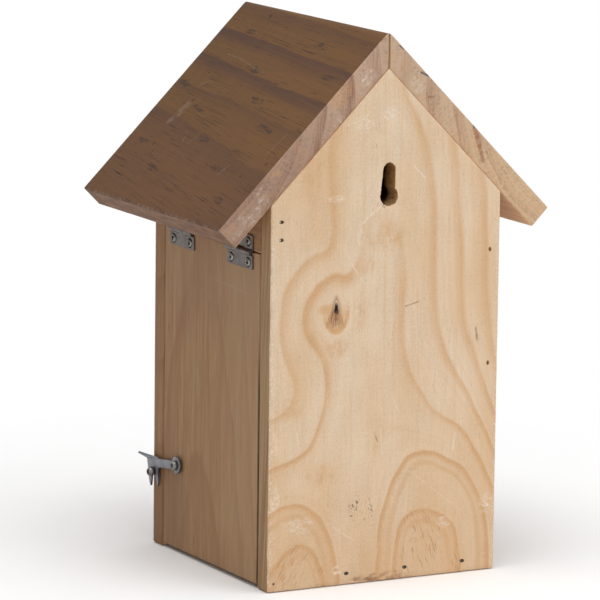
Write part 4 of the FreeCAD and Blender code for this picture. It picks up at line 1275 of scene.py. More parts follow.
def back_knot(finish, colour, x, z):
    """Lays the knot over the board: its halo, warm foot, brown lines, black heart and one chipped spot."""
    heart, brown, warm, halo = knot(finish, x, z)
    colour = finish.mix(0.2 * halo, colour, RAW_PALE)
    colour = finish.mix(0.9 * warm, colour, KNOT_ORANGE)
    colour = finish.mix(0.8 * brown, colour, KNOT_BROWN)
    colour = finish.mix(heart, colour, KNOT_BLACK)
    return finish.mix(0.7 * blob(finish, x, z, *KNOT_CHIP), colour, RAW_PALE), heart


def back_scratches(finish, x, z, speckle):
    """The board's pale scratches: drawn ones, fine ones in two directions, and fuzz along its sides."""
    first = fine_scuffs(finish, x, z, 0.5, 1.0, 0.08)
    second = fine_scuffs(finish, x, z, 2.2, 8.0, 0.04)
    drawn = scratches(finish, x, z, BACK_SCUFFS)
    fuzz = finish.smooth(abs(x), HALF_WIDTH - 3.0, HALF_WIDTH - 0.4) * finish.smooth(speckle, 0.5, 0.64)
    return finish.larger(finish.larger(drawn, 0.8 * finish.larger(first, second)), fuzz)


def back_ground(finish, x, y, z, broad):
    """The slow changes of the raw pine: palest near the apex and the fixed side, tan low and at top left."""
    blotch = finish.noise(x / 30, y / 30, z / 70)
    colour = finish.mix(finish.smooth(blotch, 0.32, 0.72), RAW_PALE, RAW_WARM)
    wash = finish.smooth(x, 29.0, 36.0) * finish.smooth(z, 176.0, 192.0)
    colour = finish.mix(0.35 * wash * finish.smooth(x, 78.0, 34.0), colour, RAW_TAN)
    low = finish.smooth(z, 75.0, 15.0)
    colour = finish.mix(0.35 * low, colour, RAW_TAN)
    gold = blobs(finish, x, z, BACK_GOLD, 0.0)
    uneven = finish.noise(x / 5, 3.0, z / 9, 3.0, 0.6)
    colour = finish.mix(0.8 * gold * finish.smooth(uneven, 0.3, 0.7), colour, RAW_TAN)
    return finish.mix(0.6 * finish.smooth(broad, 0.46, 0.72), colour, RAW_WARM)


MOULD = ((17.5, 42.0), (4.5, 10.0))
FAINTER_MOULD = ((9.5, 40.0), (4.5, 8.0))
CORNER_SPECK = ((66.4, 4.6), (0.9, 0.9))
FOOT_DIRT = ((2.0, 1.0), (24.0, 5.0))
PIT_SHADE_PATCH = (3.0, 3.0)


def torn_dashes(finish, x, y, z, lean):
    """Short brown dashes of torn grain: drawn-out noise, sheared so that it leans, above a limit."""
    dash = finish.noise((x + lean * z) / 0.9, y / 0.9, z / 6)
    patch = finish.noise(x / 9, y / 9, z / 12, 1.0, 0.5)
    return finish.smooth(dash + 0.36 * patch, 0.76, 0.88)


def mould(finish, x, z):
    """Clusters of dark specks: fine noise plus a coarser one, above a limit, within two ovals."""
    crumbs = finish.noise(x / 1.3, 2.0, z / 2.0, 3.0, 0.7)
    clump = finish.noise(x / 4.5, 6.0, z / 4.5, 2.0, 0.6)
    near = finish.larger(blob(finish, x, z, *MOULD), 0.9 * blob(finish, x, z, *FAINTER_MOULD))
    return finish.smooth(crumbs + 0.6 * clump, 0.86, 0.93) * near


def back_marks(finish, colour, x, y, z, count):
    """Torn grain inside the arches, ticks elsewhere, dark specks low down and a few bruises."""
    inside = finish.smooth(count, -0.75, -1.05)
    dashes = finish.larger(
        torn_dashes(finish, x, y, z, 0.6) * finish.smooth(x, 25.0, 32.0),
        torn_dashes(finish, x, y, z, -0.3) * finish.smooth(x, 5.0, -2.0))
    colour = finish.mix(0.55 * dashes * inside, colour, FLECK_BROWN)
    colour = finish.mix(0.5 * pores(finish, x, y, z, 6.0, 0.03), colour, FLECK_BROWN)
    colour = finish.mix(0.8 * mould(finish, x, z), colour, SPECK_AND_SHADE_BLACK)
    colour = finish.mix(0.9 * blob(finish, x, z, *CORNER_SPECK), colour, SPECK_AND_SHADE_BLACK)
    crust = finish.smooth(finish.noise(x / 4, 3.0, z / 2), 0.42, 0.62)
    colour = finish.mix(0.4 * blob(finish, x, z, *FOOT_DIRT) * crust, colour, KNOT_BROWN)
    return finish.mix(0.6 * scratches(finish, x, z, BACK_BRUISES), colour, KNOT_BROWN)


def hollows(finish, colour, x, y, z):
    """Painted shade in the nail pits, a painted highlight on the keyhole's lip, a keyhole wall with painted
    shade that deepens inwards, and stain on the side edges with painted shade along the door joint.
    """
    sunk = finish.smooth(y, BACK_Y - 0.1, BACK_Y - 0.45)
    outside = finish.smooth(y, BACK_Y - BOARD + 0.1, BACK_Y - BOARD + 0.4)
    # Painted shade in the open nail pits: near black for the floor and header nails, brown in the side nails'
    # slots.
    for nails, dark in ((FLOOR_NAILS + HEADER_NAILS, SPECK_AND_SHADE_BLACK), (SIDE_NAILS[1:], SLOT_SHADE_BROWN)):
        pits = blobs(finish, x, z, [(nail, PIT_SHADE_PATCH) for nail in nails])
        colour = finish.mix(0.9 * sunk * pits * outside, colour, dark)
    keyhole = in_keyhole(finish, x, z)
    # Painted highlight: a thin golden lip round the keyhole's rim.
    lip = finish.smooth(y, BACK_Y - 0.02, BACK_Y - 0.15) * keyhole
    colour = finish.mix(0.8 * lip, colour, LIP_HIGHLIGHT_GOLD)
    within = finish.smooth(y, BACK_Y - 0.35, BACK_Y - 0.8) * outside * keyhole
    colour = finish.mix(0.95 * within, colour, shaded_keyhole_wall(finish, x, y, z))
    ragged = finish.noise(x / 2, y / 1.5, z / 9, 2.0, 0.6)
    stained = finish.smooth(y + 1.2 * ragged, BACK_Y + 0.2, BACK_Y - 0.5)
    stained = stained * finish.smooth(abs(x), HALF_WIDTH - 0.9, HALF_WIDTH - 0.4)
    streaks = finish.noise((y - 0.077 * z) / 1.9, x / 1.9, z / 90, 3.0, 0.6)
    side = finish.mix(0.65 * finish.smooth(streaks, 0.42, 0.64), STAIN_LIGHT, STAIN_DEEP)
    # Painted shade on the back board's edge along the door joint.
    side = finish.mix(0.8 * door_joint_shade(finish, y, z), side, JOINT_SHADE_DARK)
    return finish.mix(stained, colour, side)


KEYHOLE_PATCH = (7.0, 15.0)
# The keyhole wall's colours hold painted light and shade: shaded brown wood and streaks, a lit foot, near
# black deep inside.
KEYHOLE_SHADED_WOOD = srgb(172, 129, 80)
KEYHOLE_LIT_FOOT = srgb(194, 163, 122)
KEYHOLE_STREAK = srgb(138, 98, 55)
KEYHOLE_DEEP_SHADE = srgb(40, 26, 14)


def in_keyhole(finish, x, z):
    """1 on and inside the keyhole's rim: within a box around the hole."""
    across = abs(x - KEYHOLE_MOUTH[0]) / KEYHOLE_PATCH[0]
    up = abs(z - KEYHOLE_MOUTH[1] - KEYHOLE_RISE / 2) / KEYHOLE_PATCH[1]
    return finish.smooth(finish.larger(across, up), 1.0, 0.98)


def shaded_keyhole_wall(finish, x, y, z):
    """Drilled wood whose brown holds painted shade: darkest in the slot, painted shade deepening inwards,
    painted light on the mouth's foot.
    """
    streak = finish.noise(x / 1.2, y / 4, z / 1.2, 2.0, 0.6)
    foot = finish.smooth(z, KEYHOLE_MOUTH[1] + 4.0, KEYHOLE_MOUTH[1] - 6.0)
    wood = finish.mix(foot, KEYHOLE_SHADED_WOOD, KEYHOLE_LIT_FOOT)
    wood = finish.mix(0.7 * finish.smooth(streak, 0.4, 0.65), wood, KEYHOLE_STREAK)
    return finish.mix(0.6 * finish.smooth(y, BACK_Y - 8.5, BACK_Y - 11.6), wood, KEYHOLE_DEEP_SHADE)


def door_joint_shade(finish, y, z):
    """Painted shade along the joint between the door and the back board: 1 at the joint, fading out towards
    the hinges.
    """
    line = finish.smooth(abs(y - door_high[1] - 1.2), 1.5, 0.8)
    return line * (0.08 + 0.92 * finish.smooth(z, 140.0, 100.0))


def stained_finish(name, rings, deep, along, across, mask, shade=WHITE, marks=None):
    """Stained pine: the rings show through the stain, which stays out of the inner face."""
    finish = Finish(name)
    axes = dict(zip("xyz", finish.place()))
    across = axes[across]
    deep_axis = axes[deep]
    along = axes[along]
    warp = finish.noise(across / 22, deep_axis / 22, along / 70) - 0.5
    count = rings(across, along) + 0.5 * warp
    share = finish.math("FRACT", count, 0.0)
    late = finish.smooth(share, 0.58, 0.95) * finish.smooth(share, 1.0, 0.93)
    fine, broad = fibres(finish, across, deep_axis, along)
    raw = finish.mix(0.8 * late, RAW_WARM, RAW_TAN)
    hue = finish.noise(across / 3.4, deep_axis / 3.4, along / 48, 3.0, 0.65)
    stain = finish.mix(finish.smooth(hue, 0.36, 0.64), STAIN_LIGHT, STAIN_WARM)
    stain = finish.mix(0.75 * late + 0.3 * finish.smooth(broad, 0.35, 0.75), stain, STAIN_DARK)
    colour = finish.mix(mask(finish, axes, fine), raw, stain)
    strand = finish.noise(across / 4.5, deep_axis / 4.5, along / 60, 3.0, 0.65)
    cloud = finish.noise(across / 16, deep_axis / 16, along / 22, 3.0, 0.6)
    grain = 0.57 + 0.5 * fine + 0.15 * finish.smooth(strand, 0.36, 0.64) + 0.28 * cloud
    # A shade tone other than white is painted shade laid over the grain.
    colour = finish.shaded(colour, grain, shade)
    colour = finish.mix(0.4 * pores(finish, across, deep_axis, along, 13.0, 0.08), colour, PORE_BROWN)
    if marks:
        colour = marks(finish, colour, axes)
    scratch = fine_scuffs(finish, across, along, 0.9, 4.0, 0.0)
    colour = finish.mix(0.25 * scratch, colour, SCUFF_WHITE)
    height = 0.6 * fine + 0.3 * late
    return finish.surface(colour, 0.64 - 0.1 * late, height, 0.1, specular=0.22)


RAW_JOINT_FROM = 58.0
DOOR_CORNER_SHADE = ((-36.0, 30.0), (26.0, 40.0))
FRONT_JOINT_SHADE_HEIGHT = 36.0
DOOR_SCRATCHES = [
    ((13, 160.5), (57, 158.5), 0.4), ((-38.6, 80), (-41, 75), 0.5), ((-39.6, 66.5), (-36.4, 66), 0.4)]


def door_marks(finish, colour, axes):
    """The door's marks: paler towards the back, painted shade over the lower front corner and in the joints
    beside it, scratches.
    """
    y = axes["y"]
    z = axes["z"]
    pale = 0.3 * finish.smooth(y, 8.0, 48.0) + 0.18 * finish.smooth(z, 125.0, 160.0)
    colour = finish.mix(pale, colour, STAIN_PALE)
    # Painted shade over the door's lower front corner.
    colour = finish.mix(0.6 * blob(finish, y, z, *DOOR_CORNER_SHADE, 0.0), colour, DOOR_SHADE_BROWN)
    # Painted shade in the gap along the door's front edge, around the latch's height.
    front = finish.smooth(abs(y - door_low[1] + DOOR_EASE), 1.3, 0.4)
    front = front * finish.smooth(abs(z - FRONT_JOINT_SHADE_HEIGHT), 22.0, 8.0)
    joint_shade = finish.larger(0.8 * door_joint_shade(finish, y, z), 0.5 * front)
    colour = finish.mix(joint_shade, colour, JOINT_SHADE_DARK)
    return finish.mix(0.08 * scratches(finish, y, z, DOOR_SCRATCHES), colour, SCUFF_WHITE)


def front_marks(finish, colour, axes):
    """The front board's side edges are darker low down."""
    edge = finish.smooth(abs(axes["x"]), HALF_WIDTH - 1.0, HALF_WIDTH - 0.4)
    return finish.mix(0.7 * edge * finish.smooth(axes["z"], 56.0, 24.0), colour, STAIN_DEEP)


def arches(middle, spread, spacing, shift):
    """A count of rings in nested arches that open downwards."""
    def rings(across, along):
        """The height plus a share of the squared offset from the middle, counted in spacings."""
        off = across - middle
        return (along + spread * off * off) / spacing + shift
    return rings


def outer_of_door(finish, axes, fine):
    """Stain on the door-side faces, a little way round the edges; the joint's rear end is left raw."""
    outside = finish.smooth(axes["x"] + 3.0 * fine, HALF_WIDTH - 5.0, HALF_WIDTH - 2.5)
    joint = finish.smooth(abs(axes["z"] - door_high[2] - DOOR_EASE - 0.3), 1.7, 1.0)
    rear = finish.smooth(axes["y"], RAW_JOINT_FROM, RAW_JOINT_FROM + 2.0)
    return outside * (1.0 - 0.45 * joint * rear)


def outer_of_fixed_side(finish, axes, fine):
    """Stain on the fixed side's outer face."""
    return finish.smooth(3.0 * fine - axes["x"], HALF_WIDTH - 5.0, HALF_WIDTH - 2.5)


def outer_of_front(finish, axes, fine):
    """Stain on the front face and on the front board's side edges."""
    face = finish.smooth(2.0 * fine - axes["y"], -FRONT_Y - 3.0, -FRONT_Y - 1.0)
    edge = finish.smooth(abs(axes["x"]), HALF_WIDTH - 1.0, HALF_WIDTH - 0.5)
    return finish.larger(face, edge)


def nowhere(finish, axes, fine):
    """No stain: the floor is raw."""
    return fine * 0.0


RING_MIDDLE = np.array([125.0, -80.0])
RING_DRIFT = np.array([0.036, -0.036])
RING_STEP = 10.65
RING_GROWTH = 0.95
DOOR_SIDE_RING = 83.7
FIXED_SIDE_RING = 81.0
GRAIN_LEAN = 0.05
LEAN_GROWS = 0.0007
ROOF_KNOTS = [
    (19.5, -51.0), (18.5, 29.6), (42.5, -15.7), (36.7, 62.7), (61.2, -71.9), (60.7, 13.8), (75.1, -37.6),
    (76.9, 43.0), (92.6, -5.7), (103.5, -63.7), (118.0, -32.7), (107.1, 27.7), (125.5, 56.9)]


def roof_rings(finish, down, deep, y, start):
    """The roof's rings, counted outwards from the tree's middle, which drifts along the board.

    Each ring is a little wider than the one inside it, so the count is the root of a square formula.
    """
    behind = y - ROOF_BACK
    across = down - RING_MIDDLE[0] - RING_DRIFT[0] * behind
    up = deep - RING_MIDDLE[1] - RING_DRIFT[1] * behind
    warp = finish.noise(down / 30, deep / 30, y / 90) - 0.5
    radius = (across * across + up * up) ** 0.5
    beyond = RING_STEP ** 2 + 4 * RING_GROWTH * (radius - start + 5.0 * warp)
    return (beyond ** 0.5 - RING_STEP) / (2 * RING_GROWTH)


def dark_rings(finish, count):
    """The late wood: a sharp outer edge that fades inwards, strongest in two of the rings."""
    share = finish.math("FRACT", count, 0.0)
    late = finish.smooth(share, 0.4, 0.93) * finish.smooth(share, 1.0, 0.95)
    strong = finish.smooth(abs(count - 2.4), 1.9, 0.7)
    first = finish.smooth(count, 0.2, -0.1)
    return late * (0.35 + 0.65 * strong + 0.2 * first) * finish.smooth(count, 4.5, 4.2)


def along_grain(down, y):
    """How far down the slope a line of the grain starts: the grain leans more towards the eave."""
    return down - (GRAIN_LEAN + LEAN_GROWS * down) * (y - ROOF_BACK)


def roof_knots(finish, slant, deep, y, knots):
    """Small grey knots: smudges drawn out along the grain, each full of thin dark streaks."""
    marks = 0.0
    streak = finish.noise(slant / 1.5, deep / 2, y / 9, 2.0, 0.6)
    for number, (down, place) in enumerate(knots):
        across = (slant - along_grain(down, place)) / (2.2 + 0.4 * (number % 3))
        along = (y - place) / (7.5 + 1.2 * (number % 4))
        away = across * across + along * along + 2.4 * (streak - 0.5)
        marks = finish.larger(finish.smooth(away, 1.0, 0.2), marks)
    return marks * (0.25 + 0.75 * finish.smooth(streak, 0.54, 0.42))


def flecks(finish, across, deep, along):
    """Dark resin flecks: drawn-out noise in shifted lines plus a share of a slow one, above a limit."""
    shift = finish.noise(across / 1.2, 9.0, along / 60, 1.0, 0.5)
    dash = finish.noise(across / 0.72, deep / 0.72, along / 20 + 7.0 * shift, 1.0, 0.4)
    patch = finish.noise(across / 16, deep / 16, along / 36, 1.0, 0.5)
    return finish.smooth(dash + 0.24 * patch, 0.765, 0.81)


RESIN_DOT = (1.5, 1.5)
RESIN_DOTS = [
    ((96.6, 73.0), RESIN_DOT), ((108.0, 59.0), RESIN_DOT), ((103.6, -51.0), RESIN_DOT),
    ((70.6, -49.0), RESIN_DOT)]
ROOF_SCUFFS = [
    ((75, -50.5), (87, -54), 4.2), ((76, 68.5), (92, 65.5), 0.7), ((43, -4), (40.5, -22), 0.6),
    ((40.5, -22), (38, -38), 0.6), ((38, -38), (37, -54), 0.5), ((90, -14), (98, -18), 0.5),
    ((98, -24), (91, -28), 0.5), ((56, -46), (60, -55), 0.6), ((103, 40), (111, 36), 0.7)]
DOOR_SIDE_END = {
    "ridge": srgb(185, 156, 134), "eave": srgb(160, 130, 111), "ring": srgb(136, 100, 81),
    "joint": 0.0, "share": 0.75, "rings": [], "nicks": [],
    "warm": [((97.6, 4.8), (2.0, 2.0)), ((100.6, 2.7), (2.2, 1.6)), ((42.0, 4.0), (12.0, 6.0))],
    "chalk": [
        ((26, 8), (7, 5)), ((54, 12), (5, 3)), ((112.6, 2.4), (4, 2)), ((114, 8), (4, 4)), ((130, 6), (4, 3)),
        ((124, 10), (10, 4)), ((136, 9.5), (7, 2))]}
FIXED_SIDE_END = {
    "ridge": srgb(192, 164, 138), "eave": srgb(204, 172, 138), "ring": srgb(148, 98, 72),
    "joint": 1.0, "share": 0.42,
    "rings": [((76.6, 0.6), (85.6, 5.4), 2.0), ((85.6, 5.4), (93, 9.6), 1.5), ((43, 8.2), (45.2, 6.2), 0.8)],
    "nicks": [((30, 2.1), (34.8, 0.3), 0.7), ((75, 0.4), (76.4, 0.3), 0.8), ((10, 1.0), (13, 0.8), 0.5)],
    "warm": [],
    "chalk": [((33, 9), (6, 5))]}
END_WARM = srgb(194, 148, 104)
NICK_GREY = srgb(74, 70, 70)
JOINT_GOLD = srgb(152, 116, 74)
FLECK_DARK = srgb(46, 30, 22)
KNOT_GREY = srgb(48, 35, 29)
ROOF_RUB = srgb(160, 144, 130)
EAVE_LIGHT = srgb(136, 101, 75)
EAVE_DARK = srgb(107, 76, 55)
# The underside's colours are raw wood painted lighter and warmer, standing in for the bounce light under the
# eaves.
UNDERSIDE_BOUNCE_LIT = srgb(228, 183, 142)
UNDERSIDE_RING_BOUNCE_LIT = srgb(198, 143, 100)
RESIN = srgb(66, 40, 28)


def roof_skin(finish, down, deep, y, fine):
    """Where the stain lies: the top face and the eave's edge, each as 1, between the sawn ends."""
    sheltered = finish.smooth(y, ROOF_BACK - 0.3, ROOF_BACK - 0.9)
    sheltered = sheltered * finish.smooth(y, ROOF_FRONT + 0.3, ROOF_FRONT + 0.9)
    top = finish.smooth(deep + 1.2 * fine, 2.0, 1.0)
    edge = finish.smooth(down + 1.2 * fine, ROOF_SLOPE - 2.4, ROOF_SLOPE - 1.0)
    edge = edge * finish.smooth(deep, ROOF_THICKNESS - 0.3, ROOF_THICKNESS - 0.9)
    return top * sheltered, edge * sheltered


def underside(finish, down, deep, y, late):
    """The raw underside, painted lighter and warmer than the sawn ends to stand in for bounce light: the
    board's rings again, with fine fibres and broader streaks along it.
    """
    fine, broad = fibres(finish, down, deep, y)
    share = 0.6 * late + 0.4 * finish.smooth(broad, 0.4, 0.66)
    colour = finish.mix(share, UNDERSIDE_BOUNCE_LIT, UNDERSIDE_RING_BOUNCE_LIT)
    return finish.shaded(colour, 0.78 + 0.42 * fine)


def end_tone(finish, down, deep, y, count, mottle, saw):
    """How light a sawn end is from place to place: a sum of speckles, mottling, fine rings and saw lines."""
    fine_rings = finish.noise(count * 8, 2.0, down / 60, 2.0, 0.6)
    specks = finish.smooth(finish.noise(down / 1.1, deep / 1.1, 6.0, 1.0, 0.5), 0.66, 0.74)
    speckle = finish.noise(down / 1.2, deep / 1.2, y / 1.2, 3.0, 0.7)
    slash = finish.noise((down + deep) / 1.1, 4.0, (down - deep) / 9, 2.0, 0.6)
    tone = 0.52 + 0.22 * finish.smooth(speckle, 0.34, 0.66) + 0.28 * mottle
    tone = tone + 0.16 * finish.smooth(fine_rings, 0.36, 0.64) - 0.25 * specks
    return tone + 0.14 * finish.smooth(saw, 0.34, 0.66) + 0.14 * finish.smooth(slash, 0.34, 0.66)


def sawn_end(finish, down, deep, y, count, late, end):
    """The raw sawn ends and underside: speckled, dark and fine rings, saw lines across the thickness."""
    mottle = finish.noise(down / 6, deep / 6, y / 6, 3.0, 0.6)
    streak = finish.noise((down - deep) / 1.6, 0.0, (down + deep) / 20, 2.0, 0.6)
    saw = finish.noise((down + 0.12 * deep) / 0.9, deep / 14, y / 0.9, 2.0, 0.6)
    colour = finish.mix(finish.smooth(down + 50.0 * mottle, 45.0, 135.0), end["ridge"], end["eave"])
    warm = finish.larger(blobs(finish, down, deep, end["warm"]), 0.45 * finish.smooth(mottle, 0.52, 0.66))
    colour = finish.mix(0.45 * warm, colour, END_WARM)
    band = late * (0.4 + 0.8 * finish.smooth(streak, 0.34, 0.66))
    colour = finish.mix(end["share"] * band, colour, end["ring"])
    tone = end_tone(finish, down, deep, y, count, mottle, saw)
    colour = finish.shaded(colour, tone)
    colour = finish.mix(0.45 * chalk(finish, down, deep, end["chalk"]), colour, SCUFF_WHITE)
    frayed = 0.55 + 0.45 * finish.smooth(saw, 0.4, 0.6)
    colour = finish.mix(0.85 * strokes(finish, down, deep, end["rings"]) * frayed, colour, end["ring"])
    colour = finish.mix(0.8 * strokes(finish, down, deep, end["nicks"]), colour, NICK_GREY)
    colour = finish.mix(0.8 * end["joint"] * finish.smooth(down - deep, 1.5, 1.1), colour, JOINT_GOLD)
    under = finish.smooth(deep, ROOF_THICKNESS - 0.7, ROOF_THICKNESS - 0.1)
    return finish.mix(under, colour, underside(finish, down, deep, y, late))


def eave_edge(finish, down, deep, y, fine):
    """The sawn edge along the eave: a lighter, worn coat of the stain with fine upright saw lines."""
    saw = finish.noise(down / 6, deep / 6, y / 0.9, 3.0, 0.65)
    worn = finish.noise(down / 9, deep / 3, y / 14, 2.0, 0.6)
    colour = finish.mix(finish.smooth(worn + 0.3 * fine, 0.4, 0.85), EAVE_LIGHT, EAVE_DARK)
    return finish.shaded(colour, 0.74 + 0.52 * saw)


def roof_marks(finish, stain, down, slant, deep, y, knots, scuffs):
    """Lays flecks, small knots, resin dots and rubbed scratches over the stain of the top face."""
    stain = finish.mix(0.85 * flecks(finish, slant, deep, y), stain, FLECK_DARK)
    stain = finish.mix(0.72 * roof_knots(finish, slant, deep, y, knots), stain, KNOT_GREY)
    stain = finish.mix(0.7 * blobs(finish, down, y, RESIN_DOTS), stain, RESIN)
    stain = finish.mix(0.2 * scratches(finish, down, y, scuffs), stain, ROOF_RUB)
    return finish.mix(0.1 * fine_scuffs(finish, down, y, 0.3, 6.0, 0.05), stain, ROOF_RUB)


def roof_finish(name, side, start, knots, scuffs, end):
    """Stained roof board: dark rings, thin flecks, small grey knots and rubbed places; its ends are sawn."""
    finish = Finish(name)
    x, y, z = finish.place()
    half_root = float(np.sqrt(0.5))
    down = (side * x - (z - RIDGE_TOP)) * half_root
    deep = -(side * x + (z - RIDGE_TOP)) * half_root
    slant = along_grain(down, y)
    count = roof_rings(finish, down, deep, y, start)
    late = dark_rings(finish, count)
    fine, broad = fibres(finish, slant, deep, y)
    planed = finish.noise(down / 40, deep / 2, y / 1.1, 2.0, 0.6)
    stain = finish.mix(0.5 * finish.smooth(slant, 92.0, 112.0), ROOF_LIGHT, ROOF_LOW)
    stain = finish.mix(0.9 * late + 0.2 * finish.smooth(broad, 0.4, 0.7), stain, ROOF_DARK)
    grain = (0.5 + 0.46 * fine + 0.44 * planed) * (1.0 + 0.0009 * y)
    stain = finish.shaded(stain, grain)
    stain = roof_marks(finish, stain, down, slant, deep, y, knots, scuffs)
    top, edge = roof_skin(finish, down, deep, y, fine)
    colour = sawn_end(finish, down, deep, y, count, late, end)
    colour = finish.mix(edge, colour, eave_edge(finish, down, deep, y, fine))
    colour = finish.mix(top, colour, stain)
    arris = finish.smooth(deep, 1.3, 0.3) * finish.smooth(down, ROOF_SLOPE - 1.4, ROOF_SLOPE - 0.4)
    colour = finish.mix(0.4 * arris * finish.smooth(planed, 0.4, 0.7), colour, ROOF_RUB)
    return finish.surface(colour, 0.62 - 0.08 * late, 0.6 * fine + 0.3 * planed, 0.12, specular=0.165)


# Metal finishes

NAIL_RUST = srgb(150, 92, 40)
# Near-black painted shade for recesses in screws, countersinks and nail heads.
RECESS_SHADE_BLACK = (0.01, 0.01, 0.01, 1.0)
PEWTER = (srgb(110, 101, 96), srgb(96, 87, 83))
HOOK_ZINC = (srgb(132, 132, 137), srgb(112, 111, 116))
LEAF_SCREW_ZINC = (srgb(160, 158, 151), srgb(134, 132, 125))
LATCH_SCREW_ZINC = (srgb(132, 131, 127), srgb(102, 101, 98))
# A pale yellowish nail colour that stands in for a glint on the bare nail heads: a painted highlight.
PALE_NAIL_GLINT = (srgb(206, 200, 168), srgb(170, 162, 132))
STAINED_NAIL = (srgb(86, 62, 46), srgb(58, 42, 32))


def metal_finish(name, light, dark, roughness, brushed, rusty=False):
    """Dull plated steel: soft cloudy patches, fine wear marks and small pits, with painted shade in recesses.
    """
    finish = Finish(name)
    x, y, z = finish.place()
    cloud = finish.noise(x / 5, y / 5, z / 5)
    marks = finish.noise(x / 0.4, y / brushed, z / 0.4, 2.0, 0.6)
    pits = finish.noise(x / 0.5, y / 0.5, z / 0.5, 1.0, 0.5)
    colour = finish.mix(finish.smooth(cloud, 0.3, 0.7), light, dark)
    colour = finish.mix(0.3 * finish.smooth(pits, 0.66, 0.76), colour, SPECK_AND_SHADE_BLACK)
    if rusty:
        colour = finish.mix(finish.own("rust"), colour, NAIL_RUST)
    # Painted shade: near black where the mesh marks a recess.
    colour = finish.mix(0.92 * finish.smooth(finish.own("sunk"), 0.1, 0.8), colour, RECESS_SHADE_BLACK)
    rough = roughness + 0.12 * (cloud - 0.5) + 0.12 * (marks - 0.5)
    return finish.surface(colour, rough, 0.6 * marks + 0.6 * pits, 0.012, metallic=0.85)


# Stage

CAMERA_AZIMUTH = np.radians(151.786)
CAMERA_ELEVATION = np.radians(9.917)
CAMERA_ROLL = np.radians(0.730)
CAMERA_DISTANCE = 2630.9
CAMERA_FOCAL_PIXELS = 4786.5
CAMERA_SHIFT = (-13.619, 12.826)
CAMERA_HEIGHT = 130.0
PICTURE = 600
SENSOR = 36.0
FARTHEST = 50.0
LAMP_AIM = (0.0, 0.0, 0.14)
KEY_LAMP = ((-1.3, 1.9, 1.3), 1.6, 11.0)
TOP_LAMP = ((0.4, 0.3, 2.4), 1.8, 30.0)
KEY_SIDE = unit((-0.5, 0.7, 0.5)).tolist()
SKY_DIM = 0.36
SKY_BRIGHT = 0.72
FLOOR_HALF = 6.0
FLOOR_LEVEL = -0.0004
FLOOR_NEAR = 150.0
FLOOR_FAR = 460.0
FLOOR_GREY = srgb(248, 248, 248)
FLOOR_WHITE = srgb(251, 251, 251)


def seat(name, thing, axes, spot):
    """Places a camera or a lamp: its right, up and back axes, and its spot in metres."""
    matrix = np.eye(4)
    matrix[:3, :3] = np.stack(axes, -1)
    matrix[:3, 3] = spot
    holder = bpy.data.objects.new(name, thing)
    holder.matrix_world = matrix.T.tolist()
    bpy.context.scene.collection.objects.link(holder)
    return holder


def camera():
    """The camera at the photograph's angle: backed away from the box's middle, shifted and rolled."""
    level = np.cos(CAMERA_ELEVATION)
    right = np.array([np.cos(CAMERA_AZIMUTH), np.sin(CAMERA_AZIMUTH), 0.0])
    back = np.array([right[1] * level, -right[0] * level, np.sin(CAMERA_ELEVATION)])
    up = np.cross(back, right)
    middle = np.array([0.0, (BACK_Y + FRONT_Y) / 2, CAMERA_HEIGHT])
    target = middle + right * CAMERA_SHIFT[0] + up * CAMERA_SHIFT[1]
    eye = (target + back * CAMERA_DISTANCE) * MM
    across = np.cos(CAMERA_ROLL) * right + np.sin(CAMERA_ROLL) * up
    upright = np.cos(CAMERA_ROLL) * up - np.sin(CAMERA_ROLL) * right
    lens = bpy.data.cameras.new("camera")
    lens.sensor_width = SENSOR
    lens.lens = CAMERA_FOCAL_PIXELS * SENSOR / PICTURE
    lens.clip_end = FARTHEST
    bpy.context.scene.camera = seat("camera", lens, [across, upright, back], eye)


def soft_lamp(name, spot, size, power):
    """A large soft square lamp that faces the box."""
    lamp = bpy.data.lights.new(name, "AREA")
    lamp.shape = "SQUARE"
    lamp.size = size
    lamp.energy = power
    back = unit(np.subtract(spot, LAMP_AIM))
    right = unit(np.cross((0.0, 0.0, 1.0), back))
    seat(name, lamp, [right, np.cross(back, right), back], spot)


def world():
    """White to the eye and in reflections; as a light it is a soft sky, brightest on the key lamp's side."""
    sky = Finish("studio", "worlds")
    way = sky.node("ShaderNodeTexCoord", output="Generated")
    side = sky.node("ShaderNodeVectorMath", {"operation": "DOT_PRODUCT"}, {0: way, 1: KEY_SIDE}, "Value")
    glow = SKY_DIM + (SKY_BRIGHT - SKY_DIM) * sky.smooth(side, -0.7, 0.9)
    seen = sky.seen()
    strength = seen + (1.0 - seen) * glow
    light = sky.node("ShaderNodeBackground", None, {"Color": WHITE, "Strength": strength})
    sky.node("ShaderNodeOutputWorld", None, {"Surface": light})
    bpy.context.scene.world = sky.material


def floor():
    """A wide pale floor that keeps the box's soft shadow and turns to plain white further out."""
    finish = Finish("studio_floor")
    x, y, _ = finish.place()
    speck = finish.noise(x / 40, y / 40, 0.0)
    colour = finish.mix(speck, FLOOR_GREY, FLOOR_WHITE)
    sheet = finish.node("ShaderNodeBsdfDiffuse", None, {"Color": colour})
    glow = finish.node("ShaderNodeEmission", None, {"Color": WHITE, "Strength": 1.0})
    far = finish.smooth(x * x + y * y, FLOOR_NEAR ** 2, FLOOR_FAR ** 2)
    shader = finish.node("ShaderNodeMixShader", None, {0: far * finish.seen(), 1: sheet, 2: glow})
    finish.node("ShaderNodeOutputMaterial", None, {"Surface": shader})
    mesh = bpy.data.meshes.new("floor")
    turns = [(-1, -1), (1, -1), (1, 1), (-1, 1)]
    corners = [(FLOOR_HALF * right, FLOOR_HALF * ahead, FLOOR_LEVEL) for right, ahead in turns]
    mesh.from_pydata(corners, [], [(0, 1, 2, 3)])
    mesh.materials.append(finish.material)
    ground = bpy.data.objects.new("floor", mesh)
    bpy.context.scene.collection.objects.link(ground)


# The whole box

